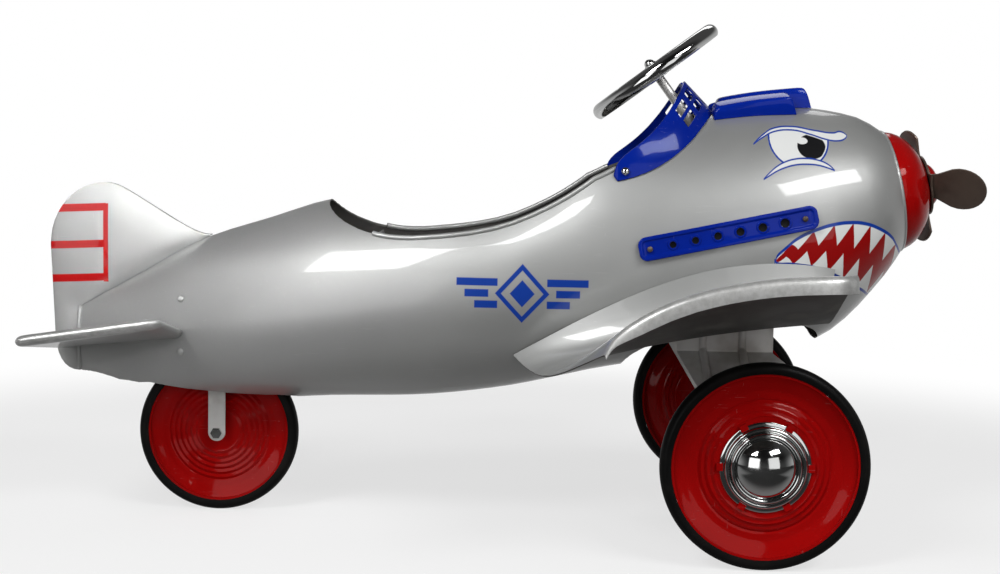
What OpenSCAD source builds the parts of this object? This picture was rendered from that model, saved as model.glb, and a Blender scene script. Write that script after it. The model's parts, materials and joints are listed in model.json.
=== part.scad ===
// Ride-on pedal plane: stamped steel hull on three wheels, pedals on a cranked front axle,
// and a steering wheel that turns the tail wheel through a drag link.
// Millimetres, +X to the nose, +Y to the pilot's left, +Z up, floor at Z = 0.

/* [Hull] */
// Length of the hull from its tail edge to the centre of the nose ring
hull_len = 1044; // [1025:1:1065]
// Greatest width of the hull
hull_w = 292; // [282:1:304]
// Height of the lowest point of the belly above the floor
belly_z = 154; // [150:1:160]
// Height of the cowl above the lowest point of the belly
hull_h = 386; // [378:1:396]
// Thickness of the stamped sheet
sheet = 2; // [1.5:0.1:2.5]
// Diameter of the nose ring
nose_d = 158; // [150:1:166]
// Height of the nose ring's centre above the lowest point of the belly
nose_rise = 280; // [274:1:284]
// Upward tilt of the nose ring in degrees
nose_tilt = 11; // [8:1:13]

/* [Openings in the hull] */
// Distance of the cockpit's rear edge from the tail edge
cockpit_rear = 327; // [315:1:340]
// Length of the cockpit opening
cockpit_len = 477; // [465:1:485]
// Width of the cockpit opening
cockpit_w = 232; // [220:1:240]
// Distance of the footwell's rear edge from the tail edge
foot_rear = 702; // [690:1:715]
// Length of the footwell in the belly
foot_len = 230; // [220:1:240]
// Width of the footwell in the belly
foot_w = 200; // [185:1:210]
// Length of the tail wheel's opening in the belly
well_len = 232; // [226:1:240]
// Width of the tail wheel's opening in the belly
well_w = 86; // [82:1:92]

/* [Wings] */
// Span from tip to tip
wing_span = 800; // [760:1:840]
// Distance of the root's rear end from the tail edge
wing_rear = 568; // [556:1:580]
// Length of the root on the hull's side
wing_root = 380; // [365:1:390]
// Height of the root's rear end above the belly's lowest point
wing_root_rise = 73; // [66:1:82]
// Height of the root's crown above its rear end
wing_root_arch = 122; // [112:1:130]
// Distance of the tip's rear corner from the tail edge
wing_tip_rear = 668; // [655:1:680]
// Length of the tip
wing_tip = 266; // [250:1:280]
// Height of the tip's rear corner above the belly's lowest point
wing_tip_rise = 112; // [104:1:120]
// Height of the tip's crown above its rear corner
wing_tip_arch = 88; // [80:1:96]
// Depth of the valley between hull and tip, below the root's rear end
wing_dip = 42; // [34:1:50]
// Height of the downturned lip
lip_h = 18; // [14:1:24]
// Radius of the lip's bend
lip_r = 8; // [5:1:10]

/* [Tail] */
// Height of the fin above the belly's lowest point
fin_rise = 273; // [262:1:284]
// Reach of the rudder behind the hull's tail edge
fin_reach = 38; // [33:1:43]
// Length of the fin's foot on the hull
fin_foot = 172; // [164:1:180]
// Thickness of the fin
fin_t = 9; // [7:0.5:12]
// Span of the tailplane from tip to tip
tailplane_span = 400; // [380:1:430]
// Depth of the tailplane from front to rear edge
tailplane_chord = 179; // [170:1:190]
// Reach of the tailplane's rear edge behind the hull's tail edge
tailplane_reach = 27; // [22:1:32]
// Height of the tailplane's rear edge above the belly's lowest point
tailplane_rise = 88; // [80:1:94]
// Upward tilt of the tailplane in degrees
tailplane_tilt = 8.5; // [7:0.5:10]
// Thickness of the tailplane over its rolled lip
tailplane_t = 14; // [10:1:16]

/* [Wheels] */
// Diameter of a front tyre
front_d = 243; // [236:1:250]
// Diameter of the tail tyre
tail_d = 209; // [202:1:211]
// Width of a tyre
tyre_w = 22; // [18:1:24]
// Radial height of a tyre
tyre_h = 13; // [11:1:16]
// Distance between the middles of the front tyres
track = 490; // [476:1:510]
// Distance of the tail axle from the hull's tail edge
tail_axle_set = 182; // [176:1:188]
// Distance between the tail axle and the front axle
wheelbase = 679; // [672:1:686]
// Diameter of a hubcap's flange
hubcap_d = 106; // [98:1:110]

/* [Drive] */
// Diameter of the cranked front axle
axle_d = 12; // [10:0.5:14]
// Throw of each crank
crank_throw = 55; // [48:1:60]
// Width of a pedal
pedal_w = 64; // [56:1:68]
// Depth of a pedal
pedal_len = 60; // [50:1:64]
// Thickness of a pedal
pedal_t = 20; // [18:1:24]
// Distance of a pedal's middle from the centre line
pedal_y = 84; // [80:1:88]
// Distance of a hanger's lower leg from the centre line
hanger_y = 178; // [170:1:184]
// Distance of a hanger's upper plate from the centre line
hanger_top_y = 128; // [122:1:132]
// Width of a hanger's upper plate
hanger_w = 117; // [105:1:125]
// Thickness of a hanger's plate
hanger_t = 3; // [2.5:0.5:4]

/* [Steering] */
// Diameter of the steering wheel
steer_d = 190; // [180:1:200]
// Diameter of the steering wheel's rim section
rim_d = 21; // [17:1:23]
// Distance of the steering wheel's hub from the hull's tail edge
steer_set = 741; // [735:1:746]
// Height of the steering wheel's hub above the top of the cowl
steer_over = 41; // [34:1:48]
// Angle of the column above the horizontal in degrees
column_tilt = 53; // [52:0.5:54]
// Diameter of the column
column_d = 12; // [10:0.5:13]
// Length of the column's lower arm
column_arm = 36; // [34:0.5:38]
// Greatest turn of the steering wheel to each side in degrees
steer_max = 20; // [16:1:20]
// Greatest turn of the tail fork to each side in degrees
fork_max = 17; // [14:0.5:17]
// Diameter of the drag link
link_d = 8; // [7:0.5:9]
// Diameter of the king pin
king_d = 14; // [12:0.5:16]

/* [Nose] */
// Depth of the nose dome, were it not cut off behind the propeller
spinner_len = 50; // [48:1:56]
// Distance of the propeller from the nose ring
propeller_set = 45; // [42:1:46]
// Height of the cap in front of the propeller
cap_h = 16; // [15.5:0.5:20]
// Diameter over the flat propeller's blades
propeller_d = 158; // [150:1:166]
// Thickness of the propeller's sheet
propeller_t = 2.5; // [2:0.5:3]
// Bend of the blade on the right towards the front in degrees
blade_bend = 62; // [50:1:68]
// Length of that blade from its bend
bent_blade = 70; // [62:1:76]

/* [Trim] */
// Height of the windshield above the cowl
shield_h = 40; // [34:1:44]
// Length of the exhaust panels
exhaust_len = 219; // [205:1:230]
// Height of the exhaust panels
exhaust_h = 29; // [26:1:33]
// Thickness of the exhaust panels
exhaust_t = 7; // [5:0.5:9]
// Diameter of an exhaust port
port_d = 10; // [8:0.5:12]
// Length of the middle gun housing
gun_len = 130; // [120:1:134]
// Height of the seat above the belly's lowest point
seat_rise = 135; // [132:1:142]

/* [Clearances] */
// Gap between a piece and the curved sheet that it is set against
gap = 0.5; // [0.4:0.1:0.8]
// Radial clearance of a turning or slid-on fit
fit = 0.05; // [0.03:0.01:0.08]
// Flat gap between parts that turn against each other
side_gap = 0.5; // [0.3:0.1:0.8]

/* [Hidden] */
$fn = 64;

// Colours
silver = [0.70, 0.71, 0.72];
blue = [0.02, 0.12, 0.60];
red = [0.62, 0.03, 0.03];
black = [0.06, 0.06, 0.06];
chrome = [0.85, 0.86, 0.88];
bare = [0.50, 0.50, 0.50];

// The hull's ends in the part's own frame, whose origin lies under the middle of the length
cap_r = 28;
blade_root = 34;
blade_reach = propeller_d / 2 - blade_root;
blade_neck = 17;
blade_half = 31;
blade_turn = -90;
blade_swing = 35;
fold_at = 53;
fold_back = 28;
blade_steps = [for (i = [0 : 12]) sin(90 * i / 12)];
propeller_z = propeller_set + side_gap;
cap_z = propeller_z + propeller_t;
function blade_w(t) = t < 0.55 ? blade_neck + (blade_half - blade_neck) * ease(t / 0.5) :
    blade_half * sqrt(max(0, 1 - pow((t - 0.55) / 0.45, 2)));
// Reach of a corner of the bent blade in front of the nose ring's centre
function blade_x(t, side, h) =
    let (out = bent_blade * t * cos(blade_bend) - h * sin(blade_bend),
        across = side * blade_w(t),
        from_hub = blade_root + out * cos(blade_swing) - across * sin(blade_swing),
        aside = out * sin(blade_swing) + across * cos(blade_swing))
    sin(nose_tilt) * (from_hub * cos(blade_turn) - aside * sin(blade_turn))
    + cos(nose_tilt) * (propeller_z + bent_blade * t * sin(blade_bend) + h * cos(blade_bend));
nose_reach = max(concat(
    [cap_z * cos(nose_tilt) + norm([cap_h * cos(nose_tilt), cap_r * sin(nose_tilt)])],
    [for (t = blade_steps) for (side = [-1, 1]) for (h = [0, propeller_t]) blade_x(t, side, h)]));
tail_x = (fin_reach - hull_len - nose_reach) / 2;
nose_x = tail_x + hull_len;
nose_z = belly_z + nose_rise;
nose_r = nose_d / 2;
tail_axle_x = tail_x + tail_axle_set;
front_axle_x = tail_axle_x + wheelbase;
front_r = front_d / 2;
tail_r = tail_d / 2;
axle_r = axle_d / 2;

// Loft of the hull: share of length, then top, bottom, half width and height of the widest point,
// heights as shares of hull_h above belly_z and widths as shares of half of hull_w
loft = [
    [0.000, 0.288, 0.070, 0.08, 0.176],
    [0.069, 0.394, -0.013, 0.31, 0.187],
    [0.152, 0.521, -0.010, 0.54, 0.223],
    [0.242, 0.604, -0.009, 0.73, 0.264],
    [0.313, 0.666, 0.004, 0.84, 0.295],
    [0.433, 0.712, 0.015, 0.94, 0.347],
    [0.529, 0.752, 0.047, 0.98, 0.389],
    [0.595, 0.852, 0.085, 0.99, 0.428],
    [0.645, 0.950, 0.117, 1.00, 0.456],
    [0.749, 0.966, 0.168, 1.00, 0.513],
    [0.844, 0.992, 0.202, 0.97, 0.565],
    [0.887, 0.996, 0.223, 0.93, 0.593],
    [0.927, 0.996, 0.298, 0.86, 0.622],
    [0.979, 0.968, 0.448, 0.70, 0.682],
    [1.000, (nose_rise + nose_r * cos(nose_tilt)) / hull_h, (nose_rise - nose_r * cos(nose_tilt)) / hull_h,
        nose_d / hull_w, nose_rise / hull_h]];
lean_from = 0.6;

function row_of(u, i = 0) = u <= loft[i + 1][0] || i == len(loft) - 2 ? i : row_of(u, i + 1);
function chord_slope(i, c) = (loft[i + 1][c] - loft[i][c]) / (loft[i + 1][0] - loft[i][0]);
function slope(i, c) =
    i == 0 ? chord_slope(0, c) :
    i == len(loft) - 1 ? chord_slope(i - 1, c) :
    (loft[i + 1][c] - loft[i - 1][c]) / (loft[i + 1][0] - loft[i - 1][0]);
// Smooth curve through one column of the loft
function along(u, c) =
    let (i = row_of(u), h = loft[i + 1][0] - loft[i][0], t = (u - loft[i][0]) / h)
    (1 + 2 * t) * pow(1 - t, 2) * loft[i][c] + t * pow(1 - t, 2) * h * slope(i, c)
    + t * t * (3 - 2 * t) * loft[i + 1][c] + t * t * (t - 1) * h * slope(i + 1, c);
function ease(t) = let (k = max(0, min(1, t))) k * k * (3 - 2 * k);
function lerp(a, b, t) = a + (b - a) * t;
function top_z(u) = belly_z + hull_h * along(u, 1);
function low_z(u) = belly_z + hull_h * along(u, 2);
function half_w(u) = hull_w / 2 * along(u, 3);
function mid_z(u) = belly_z + hull_h * along(u, 4);
function lean(u) = tan(nose_tilt) * ease((u - lean_from) / (1 - lean_from));
// Point of the left skin at a share of the length and an angle round the section, grown outwards
function skin(u, a, grow = 0) =
    let (m = mid_z(u), z = m + sin(a) * ((a > 0 ? top_z(u) - m : m - low_z(u)) + grow))
    [tail_x + u * hull_len - lean(u) * (z - m), (half_w(u) + grow) * cos(a), z];
// Angle of a height in a section
function angle_at(u, z, grow = 0) =
    let (m = mid_z(u))
    asin(max(-1, min(1, (z - m) / ((z > m ? top_z(u) - m : m - low_z(u)) + grow))));
function skin_at(u, z, grow = 0) = skin(u, angle_at(u, z, grow), grow);
// Share of the length whose section passes through x at height z
function share_at(x, z, u, n = 4) =
    n == 0 ? u : share_at(x, z, max(0, min(1, (x - tail_x + lean(u) * (z - mid_z(u))) / hull_len)), n - 1);
function share(x, z) = share_at(x, z, (x - tail_x) / hull_len);
function skin_y(x, z, grow = 0) = skin_at(share(x, z), z, grow)[1];

// Half width of an oval opening between two shares of the length
function oval(u, from, to, half, power) =
    u <= from || u >= to ? 0 :
    half * pow(1 - pow(abs(2 * (u - from) / (to - from) - 1), power), 1 / power);
cockpit_from = cockpit_rear / hull_len;
cockpit_to = (cockpit_rear + cockpit_len) / hull_len;
foot_from = foot_rear / hull_len;
foot_to = (foot_rear + foot_len) / hull_len;
well_wide = (tail_axle_set - 74) / hull_len;
well_to = (tail_axle_set + well_len / 2) / hull_len;
well_end = 34 / hull_len;
function rim_y(u) = oval(u, cockpit_from, cockpit_to, cockpit_w / 2, 3);
// Half width of the tail wheel's slot, which opens from the tail edge and closes in an arc
function well_y(u) =
    u >= well_to ? 0 :
    u > well_to - well_end ? well_w / 2 * sqrt(1 - pow((u - well_to + well_end) / well_end, 2)) :
    well_w / 2 * min(1, pow(u / well_wide, 0.75));
function foot_y(u) = oval(u, foot_from, foot_to, foot_w / 2, 4);
function first_angle(u) = acos(min(1, rim_y(u) / half_w(u)));
function under_angle(u, half) = -acos(min(0.9, half / half_w(u)));

// Closed sheet between two grids of points; the outer face looks along rows x columns
module sheet_grid(outer, inner, open = function(i, j) false) {
    rows = len(outer);
    cols = len(outer[0]);
    function whole(i, j) = i >= 0 && j >= 0 && i < rows - 1 && j < cols - 1 && !open(i, j);
    function o(i, j) = i * cols + j;
    function n(i, j) = rows * cols + i * cols + j;
    polyhedron(
        points = concat([for (r = outer) each r], [for (r = inner) each r]),
        faces = [for (i = [0 : rows - 2]) for (j = [0 : cols - 2]) if (whole(i, j)) each concat(
            [[o(i, j), o(i, j + 1), o(i + 1, j + 1)], [o(i, j), o(i + 1, j + 1), o(i + 1, j)]],
            [[n(i, j), n(i + 1, j + 1), n(i, j + 1)], [n(i, j), n(i + 1, j), n(i + 1, j + 1)]],
            whole(i, j - 1) ? [] :
                [[o(i, j), o(i + 1, j), n(i + 1, j)], [o(i, j), n(i + 1, j), n(i, j)]],
            whole(i, j + 1) ? [] : [[o(i + 1, j + 1), o(i, j + 1), n(i, j + 1)],
                [o(i + 1, j + 1), n(i, j + 1), n(i + 1, j + 1)]],
            whole(i - 1, j) ? [] :
                [[o(i, j + 1), o(i, j), n(i, j)], [o(i, j + 1), n(i, j), n(i, j + 1)]],
            whole(i + 1, j) ? [] : [[o(i + 1, j), o(i + 1, j + 1), n(i + 1, j + 1)],
                [o(i + 1, j), n(i + 1, j + 1), n(i + 1, j)]])],
        convexity = 10);
}

// Rounded end profile: 0 at both ends of 0..1, 1 over the middle
function crowned(t, end) = let (e = min(t, 1 - t) / end) e >= 1 ? 1 : sqrt(max(0, 1 - pow(1 - e, 2)));

// Hull halves: the lofted sheet, cut by upright prisms for the cockpit, the footwell and the tail wheel
hull_steps = 44;
hull_sides = 26;
hull_shares = [for (i = [0 : hull_steps]) 1 - pow(1 - i / hull_steps, 1.2)];
function hull_row(u, grow) = [for (j = [0 : hull_sides]) skin(u, 90 - 180 * j / hull_sides, grow)];
// Shares between two ends, closer together near both of them
function spread(from, to, n) = [for (i = [0 : n]) lerp(from, to, (1 - cos(180 * i / n)) / 2)];
module prism(edge, low, high) {
    last = len(edge) - 1;
    translate([0, 0, belly_z + low * hull_h])
    linear_extrude((high - low) * hull_h) polygon(concat(
        [for (p = edge) [p[0], p[1]]], [[edge[last][0], -5], [edge[0][0], -5]]));
}
module hull_half() {
    color(silver)
    difference() {
        sheet_grid([for (u = hull_shares) hull_row(u, 0)], [for (u = hull_shares) hull_row(u, -sheet)]);
        prism([for (u = spread(cockpit_from, cockpit_to, 40)) skin(u, first_angle(u))], 0.45, 1.2);
        prism([for (u = spread(foot_from, foot_to, 32)) skin(u, under_angle(u, foot_y(u)))], -0.2, 0.42);
        prism([for (u = spread(0, well_to, 28)) skin(u, under_angle(u, well_y(u)))], -0.2, 0.17);
    }
}
module fuselage_left() { hull_half(); }
module fuselage_right() { mirror([0, 1, 0]) hull_half(); }

// Fin and rudder: a flat stamping that stands on the hull's ridge and hangs behind its tail edge
fin_top = belly_z + fin_rise;
fin_rear = tail_x - fin_reach;
fin_crown = 72;
fin_brow = 81;
fin_slope = 0.604;
fin_heel = 58;
function arc(centre, rx, rz, from, to, n) =
    [for (i = [0 : n]) let (a = lerp(from, to, i / n)) centre + [rx * cos(a), rz * sin(a)]];
function bezier(a, b, c, n) =
    [for (i = [0 : n]) let (t = i / n) pow(1 - t, 2) * a + 2 * t * (1 - t) * b + t * t * c];
module tail_fin() {
    heel_z = low_z(0);
    peak = fin_rear + fin_crown;
    brow_x = peak + 33;
    foot_x = tail_x + fin_foot;
    foot_z = top_z(fin_foot / hull_len) + gap;
    flare_x = foot_x - 44;
    function slope_z(x) = fin_top - fin_slope * (x - peak - 13);
    outline = concat(
        bezier([tail_x - gap, heel_z], [fin_rear + 5, heel_z], [fin_rear + 5, heel_z + fin_heel], 8),
        arc([peak, fin_top - fin_brow], fin_crown, fin_brow, 180, 90, 12),
        bezier([peak + 1, fin_top], [peak + 13, fin_top], [brow_x, slope_z(brow_x)], 6),
        bezier([flare_x, slope_z(flare_x)], [foot_x - 14, foot_z - 1], [foot_x, foot_z + 1.5], 8),
        [for (i = [0 : 10]) let (u = fin_foot / hull_len * (1 - i / 10))
            [tail_x - gap + u * hull_len, top_z(u) + gap]]);
    color(silver)
    rotate([90, 0, 0])
    translate([0, 0, -fin_t / 2])
    linear_extrude(fin_t) polygon(outline);
}

// Tailplane half: plate with a rolled lip, its root cut to the hull's side
tailplane_corner = 20;
tailplane_drop = 26;
function tailplane_point(s, t, side) =
    let (k = max(0, t * tailplane_span / 2 - tailplane_span / 2 + tailplane_corner) / tailplane_corner,
        inset = tailplane_corner * 0.9 * (1 - sqrt(max(0, 1 - k * k))),
        d = lerp(inset * 0.6, tailplane_chord - inset, s),
        x = tail_x - tailplane_reach + d * cos(tailplane_tilt),
        thick = max(0.12, crowned(s, 0.05) * crowned((1 + t) / 2, 0.03)) * tailplane_t / 2,
        z = belly_z + tailplane_rise - tailplane_drop * (1 - t) + d * sin(tailplane_tilt) + side * thick,
        root = max(fin_t / 2, skin_y(max(x, tail_x), z)) + 2 * gap)
    [x, lerp(root, tailplane_span / 2, t), z];
tailplane_s = [0, 0.008, 0.025, 0.05, 0.12, 0.2, 0.3, 0.4, 0.5, 0.6, 0.7, 0.8, 0.88, 0.95, 0.975, 0.992, 1];
tailplane_t_list = [0, 0.3, 0.6, 0.88, 0.91, 0.935, 0.96, 0.98, 0.993, 1];
module tailplane_half() {
    color(silver)
    sheet_grid(
        [for (s = tailplane_s) [for (t = tailplane_t_list) tailplane_point(s, t, 1)]],
        [for (s = tailplane_s) [for (t = tailplane_t_list) tailplane_point(s, t, -1)]]);
}
module tailplane_left() { tailplane_half(); }
module tailplane_right() { mirror([0, 1, 0]) tailplane_half(); }

// Wing: a sheet that leaves the hull's side in a fillet and rises to a tip with a downturned lip
wing_tip_y = wing_span / 2 - lip_r;
wing_dip_y = 115;
wing_fillet = 7;
wing_corner = 18;
function wing_crease(s) =
    skin_at((wing_rear + s * wing_root) / hull_len,
        belly_z + wing_root_rise + wing_root_arch * sin(110 * s), gap);
function wing_base(s) = [tail_x + lerp(wing_rear + 20, wing_rear + wing_root - 10, s), wing_dip_y,
    belly_z + wing_root_rise - wing_dip + lerp(0, 54, s)];
function wing_crest(s) = [tail_x + wing_tip_rear + s * wing_tip,
    wing_tip_y - sheet - wing_corner * pow(max(0, (s - 0.88) / 0.12), 2),
    belly_z + wing_tip_rise + wing_tip_arch * sin(95 * pow(s, 0.62))];
function wing_web(s, t) =
    lerp(wing_base(s), wing_crest(s), t) + (wing_crease(s) - wing_base(s)) * pow(1 - t, wing_fillet);
// The lip along the tip grows from the rear corner forwards
function tip_lip(s) = min(1, 0.25 + 6 * s);
// Lip steps beyond the web: three turns of the bend, then the straight skirt
lip_turns = [0, 30, 60, 90, 90];
function lip_out(k) = lip_r * sin(lip_turns[k]);
function lip_down(k) = k == 4 ? lip_h : lip_r * (1 - cos(lip_turns[k]));
wing_s = [0, 0.02, 0.05, 0.1, 0.17, 0.25, 0.35, 0.45, 0.56, 0.67, 0.78, 0.88, 0.94, 0.975, 1];
wing_t = [0, 0.025, 0.055, 0.09, 0.13, 0.18, 0.25, 0.35, 0.5, 0.68, 0.86, 1];
wing_cols = concat([for (t = wing_t) [t, 0]], [for (k = [1 : 4]) [1, k]]);
function wing_at(s, j) =
    let (k = wing_cols[j][1])
    wing_web(s, wing_cols[j][0]) + tip_lip(s) * [0, lip_out(k), -lip_down(k)];
function unit(v) = v / norm(v);
// Outward normal of the wing's sheet: that of the web, turned with the lip
function wing_normal(s, j) =
    let (t = wing_cols[j][0], turn = lip_turns[wing_cols[j][1]], s0 = max(0, s - 0.01),
        s1 = min(1, s + 0.01), t0 = max(0, t - 0.01), t1 = min(1, t + 0.01),
        web = unit(cross(wing_web(s1, t) - wing_web(s0, t), wing_web(s, t1) - wing_web(s, t0))))
    unit(web * cos(turn) + [0, sin(turn), 0]);
module wing_half() {
    columns = [0 : len(wing_cols) - 1];
    inner = [for (s = wing_s) [for (j = columns) wing_at(s, j)]];
    outer = [for (s = wing_s) [for (j = columns) wing_at(s, j) + sheet * wing_normal(s, j)]];
    color(silver) sheet_grid(outer, inner);
}
module wing_left() { wing_half(); }
module wing_right() { mirror([0, 1, 0]) wing_half(); }

// Nose: dome in the ring, pin, propeller and cap on the nose's own axis
spinner_r = nose_r - sheet - gap;
pin_r = 4;
hub_hole_r = pin_r + fit;
function spinner_at(z) = spinner_r * sqrt(max(0, 1 - pow(z / spinner_len, 2)));
module at_nose() { translate([nose_x, 0, nose_z]) rotate([0, 90 - nose_tilt, 0]) children(); }
module nose_cone() {
    skirt = 8;
    wall = sheet;
    steps = 10;
    outer = [for (i = [0 : steps]) let (z = propeller_set * sin(90 * i / steps)) [spinner_at(z), z]];
    inner = [for (i = [steps : -1 : 0]) let (z = (propeller_set - wall) * sin(90 * i / steps))
        [spinner_at(z) - wall, z]];
    color(red)
    at_nose()
    rotate_extrude() polygon(concat([[spinner_r - wall, -skirt], [spinner_r, -skirt]], outer,
        [[hub_hole_r, propeller_set], [hub_hole_r, propeller_set - wall]], inner));
}
module propeller_pin() {
    head = 3;
    color(chrome)
    at_nose() {
        translate([0, 0, propeller_set - sheet - head]) cylinder(r = 2 * pin_r, h = head);
        translate([0, 0, propeller_set - sheet - head]) cylinder(r = pin_r, h = head + sheet + 14);
    }
}
module blade(reach) {
    last = len(blade_steps) - 1;
    linear_extrude(propeller_t) polygon(concat(
        [for (t = blade_steps) [reach * t, -blade_w(t)]],
        [for (i = [last - 1 : -1 : 0]) [reach * blade_steps[i], blade_w(blade_steps[i])]]));
}
// Blade whose outer part is folded back beside the dome
module back_blade() {
    intersection() {
        translate([blade_root, 0, 0]) blade(blade_reach);
        translate([0, -blade_half - 1, -1]) cube([fold_at, 2 * blade_half + 2, propeller_t + 2]);
    }
    translate([fold_at, 0, propeller_t / 2])
    rotate([0, fold_back, 0])
    translate([-fold_at, 0, -propeller_t / 2])
    intersection() {
        translate([blade_root, 0, 0]) blade(blade_reach);
        translate([fold_at - 1, -blade_half - 1, -1]) cube([blade_reach, 2 * blade_half + 2, propeller_t + 2]);
    }
}
// Blade bent forward and to one side, with its flat root
module bent_front_blade() {
    edge = (blade_neck + 1) * [sin(blade_swing), cos(blade_swing)];
    over = blade_root + 4;
    linear_extrude(propeller_t) polygon([[0, -blade_neck], [over + edge[0], -edge[1]],
        [over - edge[0], edge[1]], [0, blade_neck]]);
    translate([blade_root, 0, 0])
    rotate([0, 0, blade_swing])
    rotate([0, -blade_bend, 0])
    blade(bent_blade);
}
module propeller() {
    color(bare)
    at_nose()
    translate([0, 0, propeller_z])
    difference() {
        union() {
            cylinder(r = blade_root + 4, h = propeller_t);
            rotate([0, 0, blade_turn]) bent_front_blade();
            rotate([0, 0, blade_turn + 120]) back_blade();
            rotate([0, 0, blade_turn - 120]) back_blade();
        }
        translate([0, 0, -1]) cylinder(r = hub_hole_r, h = propeller_t + 2);
    }
}
module spinner_cap() {
    steps = 8;
    color(red)
    at_nose()
    translate([0, 0, cap_z])
    difference() {
        rotate_extrude() polygon(concat([[0, 0]], [for (i = [0 : steps])
            [cap_r * cos(90 * i / steps), cap_h * sin(90 * i / steps)]]));
        translate([0, 0, -1]) cylinder(r = hub_hole_r, h = 14);
    }
}

// Windshield: sheet that wraps the cowl's edge, with a lattice of openings in its front
shield_front = 829;
shield_back = 138;
shield_lean = 39;
function shield_base(q) =
    skin((shield_front - shield_back * (1 - cos(90 * abs(q)))) / hull_len,
        90 - sign(q) * 55 * pow(sin(90 * abs(q)), 1.15), gap);
function shield_point(q, h) =
    let (b = shield_base(q), k = abs(q), round = max(0.3, crowned(1 - k, 0.15)),
        tall = shield_h * (1 - 0.48 * k * k) * round)
    b + h * [-shield_lean * (1 - 0.6 * k) * round, -0.1 * h * b[1] * (1 - k) - sign(q) * 2 * h, tall];
shield_half = [0, 0.02, 0.14, 0.18, 0.30, 0.34, 0.46, 0.50, 0.60, 0.70, 0.80, 0.88, 0.94, 0.98, 1];
shield_q = concat([for (i = [len(shield_half) - 1 : -1 : 1]) -shield_half[i]], shield_half);
shield_rows = [0, 0.14, 0.30, 0.54, 0.62, 0.88, 1];
lattice_cols = [1, 3, 5];
module windshield() {
    last = len(shield_half) - 1;
    is_open = function(i, j)
        let (k = i >= last ? i - last : last - 1 - i)
        (j == 2 || j == 4) && len(search(k, lattice_cols)) > 0;
    outer = [for (q = shield_q) [for (h = shield_rows)
        shield_point(q, h) + sheet * [cos(60 * q), sin(60 * q), 0.5]]];
    inner = [for (q = shield_q) [for (h = shield_rows) shield_point(q, h)]];
    color(blue) sheet_grid(outer, inner, is_open);
}

// Round-headed screw along +Z with its seat at the origin
screw_r = 2;
module screw(head_r, shank) {
    rotate_extrude() polygon(concat([[0, -shank], [screw_r, -shank], [screw_r, 0]],
        [for (i = [0 : 6]) [head_r * cos(90 * i / 6), head_r * 0.6 * sin(90 * i / 6)]]));
}
module windshield_screws() {
    seat = shield_base(0.94) + sheet * [cos(56), sin(56), 0.5] + [-4, 0, 9];
    color(chrome)
    for (side = [-1, 1])
        translate([seat[0], side * (seat[1] + 1), seat[2]]) rotate([-side * 70, 0, 0]) screw(5, 8);
}

// Gun housings: long covers that follow the cowl
module gun(from, length, a_in, a_out, rear_h, front_h) {
    s_list = [0, 0.015, 0.05, 0.25, 0.5, 0.75, 0.95, 0.985, 1];
    t_list = [0, 0.04, 0.14, 0.3, 0.5, 0.7, 0.86, 0.96, 1];
    function u(s) = (from + s * length) / hull_len;
    function h(s, t) = max(0.6, lerp(rear_h, front_h, s) * crowned(s, 0.05) * crowned(t, 0.14));
    color(blue)
    sheet_grid(
        [for (s = s_list) [for (t = t_list) skin(u(s), lerp(a_in, a_out, t), gap + h(s, t))]],
        [for (s = s_list) [for (t = t_list) skin(u(s), lerp(a_in, a_out, t), gap)]]);
}
gun_from = shield_front + 6;
side_gun_len = gun_len - 18;
module gun_centre() { gun(gun_from, gun_len, 97, 83, 16, 26); }
module gun_left() { gun(gun_from - 8, side_gun_len, 81, 69, 14, 22); }
module gun_right() { mirror([0, 1, 0]) gun_left(); }

// Exhaust panels: raised covers on the hull's sides with a row of ports
exhaust_from = 717;
exhaust_share = 0.536;
exhaust_z = belly_z + exhaust_share * hull_h;
exhaust_climb = 0.21;
ports = 6;
port_pitch = exhaust_len * 0.125;
function exhaust_point(s, t, grow) =
    let (d = s * exhaust_len * cos(atan(exhaust_climb)))
    skin_at((exhaust_from + d) / hull_len, exhaust_z + d * exhaust_climb + (0.5 - t) * exhaust_h, grow);
module exhaust_half() {
    s_list = [0, 0.006, 0.02, 0.045, 0.2, 0.35, 0.5, 0.65, 0.8, 0.955, 0.98, 0.994, 1];
    t_list = [0, 0.05, 0.15, 0.5, 0.85, 0.95, 1];
    function rise(s, t) = gap + max(1, exhaust_t * crowned(s, 0.045) * crowned(t, 0.2));
    port_depth = exhaust_t - 1.5;
    color(blue)
    difference() {
        sheet_grid(
            [for (s = s_list) [for (t = t_list) exhaust_point(s, t, rise(s, t))]],
            [for (s = s_list) [for (t = t_list) exhaust_point(s, t, gap)]]);
        for (i = [0 : ports - 1]) {
            at = exhaust_point(0.19 + i * port_pitch / exhaust_len, 0.5, gap + exhaust_t - port_depth);
            translate(at) rotate([-90, 0, 0]) cylinder(d = port_d, h = 3 * port_depth, $fn = 32);
        }
    }
}
module exhaust_left() { exhaust_half(); }
module exhaust_right() { mirror([0, 1, 0]) exhaust_half(); }
module exhaust_screws() {
    color(chrome)
    for (side = [-1, 1]) for (s = [0.06, 0.94]) {
        at = exhaust_point(s, 0.5, gap + exhaust_t);
        translate([at[0], side * at[1], at[2]]) rotate([-side * 90, 0, 0]) screw(3.5, exhaust_t + sheet);
    }
}

// Screws through the hull's sides above and below the tailplane
tail_screw_share = 0.14;
tail_screw_over = 16;
tail_screw_under = 51;
tail_screw_mid = belly_z + tailplane_rise
    + (tail_screw_share * hull_len + tailplane_reach) * tan(tailplane_tilt);
module tail_screws() {
    color(silver)
    for (side = [-1, 1]) for (z = [tail_screw_mid + tail_screw_over, tail_screw_mid - tail_screw_under]) {
        at = skin_at(tail_screw_share, z, 0.2);
        lay = 90 - angle_at(tail_screw_share, z) * 0.6;
        translate([at[0], side * at[1], at[2]]) rotate([-side * lay, 0, 0]) screw(4.5, 6);
    }
}

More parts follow.
